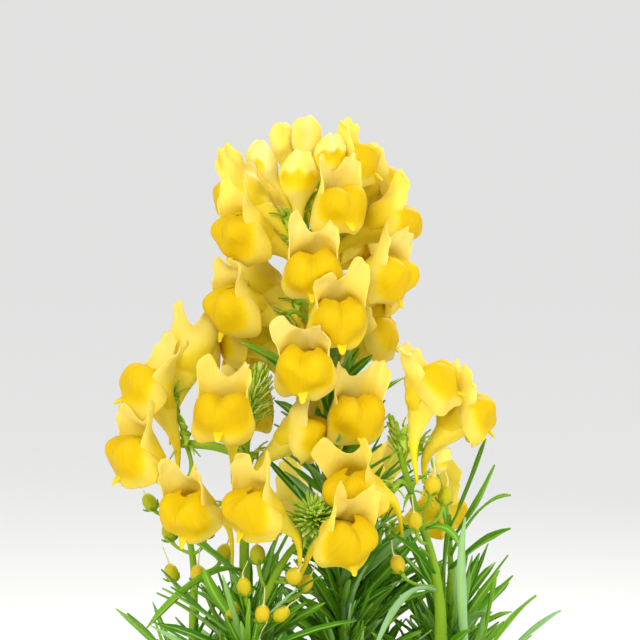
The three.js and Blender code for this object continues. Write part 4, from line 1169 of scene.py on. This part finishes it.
def soil_bed():
    """The compost: a domed bed with an uneven top, over which loose crumbs lie."""
    growth = Growth()
    edge = 57.2  # a little inside the pot's wall
    rings = [(FLOOR_THICKNESS + 1, 38.5), (50, 47.5), (SOIL_LEVEL - 3.2, edge), (SOIL_LEVEL - 2, edge - 1.5)]
    rings += [(SOIL_LEVEL - 2 + 3.6 * (k / 14), (edge - 1.5) * (1 - k / 14.4)) for k in range(1, 15)]
    p, faces = taken(drawn_up(72, [(height, 0, radius, radius) for height, radius in rings]))
    x, y, z = p.T
    uneven = 0.7 * np.sin(0.31 * x + 1) * np.sin(0.27 * y + 2) + 0.4 * np.sin(0.83 * x + 0.5 * y) \
        + 0.3 * np.sin(1.7 * y - 0.9 * x + 1)
    z = z + np.where(z > SOIL_LEVEL - 2.6, uneven, 0)
    growth.add(np.column_stack([x, y, z]), faces, 0, 0, 0, 0.5)
    bpy.ops.mesh.primitive_ico_sphere_add(subdivisions=2, radius=1, location=(0, 0, 0))
    lump = bpy.context.object
    edit_all()
    bpy.ops.transform.vertex_random(offset=0.18, seed=5)
    bpy.ops.object.mode_set(mode="OBJECT")
    q, sides = taken(lump)
    draw = draws(CRUMB_SEED)
    for _ in range(CRUMBS):
        r, a = 55.0 * math.sqrt(draw(0.002, 1)), draw(0, 2 * math.pi)
        at = arr(r * math.cos(a), r * math.sin(a), 0)
        at[2] = SOIL_LEVEL + 0.6 + 2.2 * (1 - r / 56)
        size = arr(draw(0.7, 2.0), draw(0.7, 2.0), draw(0.5, 1.3))
        spin = draw(0, 6.3)
        s = q * size
        turned = np.column_stack([s[:, 0] * math.cos(spin) - s[:, 1] * math.sin(spin),
                                  s[:, 0] * math.sin(spin) + s[:, 1] * math.cos(spin), s[:, 2]])
        growth.add(turned + at, sides, 0, 0, 0, draw(0, 1))
    return growth.piece("compost_bed", [soil_mix])


own(clay_pot(), "terracotta", "pot")
own(soil_bed(), "soil", "soil")


# Floor, light and camera.

def backdrop():
    """A pale floor that rises gently far off, all the way round."""
    rings = [(0, 0.4), (0, 1.2), (0, 2.5), (0, 4)]
    rings += [(4.5 * (k / 12) ** 2, 4 + 9 * k / 12) for k in range(1, 13)]
    bpy.ops.mesh.primitive_circle_add(vertices=96, radius=rings[0][1], fill_type="NGON",
                                      location=(0, 0, -0.0004))
    floor = bpy.context.object
    edit_all()
    for (low, near), (high, far) in zip(rings, rings[1:]):
        bpy.ops.mesh.extrude_region_move(TRANSFORM_OT_translate={"value": (0, 0, high - low)})
        bpy.ops.transform.resize(value=(far / near, far / near, 1), center_override=(0, 0, high))
    bpy.ops.mesh.delete(type="ONLY_FACE")
    bpy.ops.object.mode_set(mode="OBJECT")
    floor.name = "floor"
    floor.data.shade_smooth()
    material, tree = new_material("matt pale floor")
    skin = add_node(tree, "BsdfPrincipled", {"Base Color": linear("#F6F5F2"), "Roughness": 0.95,
                                             "Specular IOR Level": 0.1})
    floor.data.materials.append(finished(material, skin))


def softbox(name, at, aim, size, power, colour):
    light = bpy.data.lights.new(name, "AREA")
    light.energy = power
    light.size = size
    light.color = linear(colour)[:3]
    lamp = linked(name, light)
    lamp.location = at
    lamp.rotation_mode = "QUATERNION"
    lamp.rotation_quaternion = (Vector(aim) - Vector(at)).to_track_quat("-Z", "Y")


backdrop()
softbox("key light", (-0.4, -0.95, 0.95), (0, 0, 0.3), 0.6, 9.5, "#FFFDF8")
softbox("fill light", (0.95, -0.6, 0.55), (0, 0, 0.28), 0.9, 4.5, "#FAFBFF")
softbox("back light", (0.35, 0.7, 0.95), (0, 0, 0.32), 0.5, 8, "#FFFDF8")
world = bpy.data.worlds.new("studio")
bpy.context.scene.world = world
world.use_nodes = True
world.node_tree.nodes["Background"].inputs["Color"].default_value = linear("#EFF1F3")
world.node_tree.nodes["Background"].inputs["Strength"].default_value = 0.95
bpy.context.scene.view_settings.view_transform = "Standard"

ELEVATION, DISTANCE, FIELD, AIM_HEIGHT, SENSOR = math.radians(6), 0.64, 0.1524, 0.315, 36
camera_data = bpy.data.cameras.new("camera")
camera = linked("camera", camera_data)
camera_data.sensor_width = SENSOR
camera_data.lens = SENSOR * DISTANCE / FIELD
camera_data.clip_start, camera_data.clip_end = 0.02, 30
aim = Vector((0, 0, AIM_HEIGHT))
back = Vector((0, -math.cos(ELEVATION), math.sin(ELEVATION)))
camera.location = aim + back * DISTANCE
camera.rotation_mode = "QUATERNION"
camera.rotation_quaternion = (-back).to_track_quat("-Z", "Y")
bpy.context.scene.camera = camera
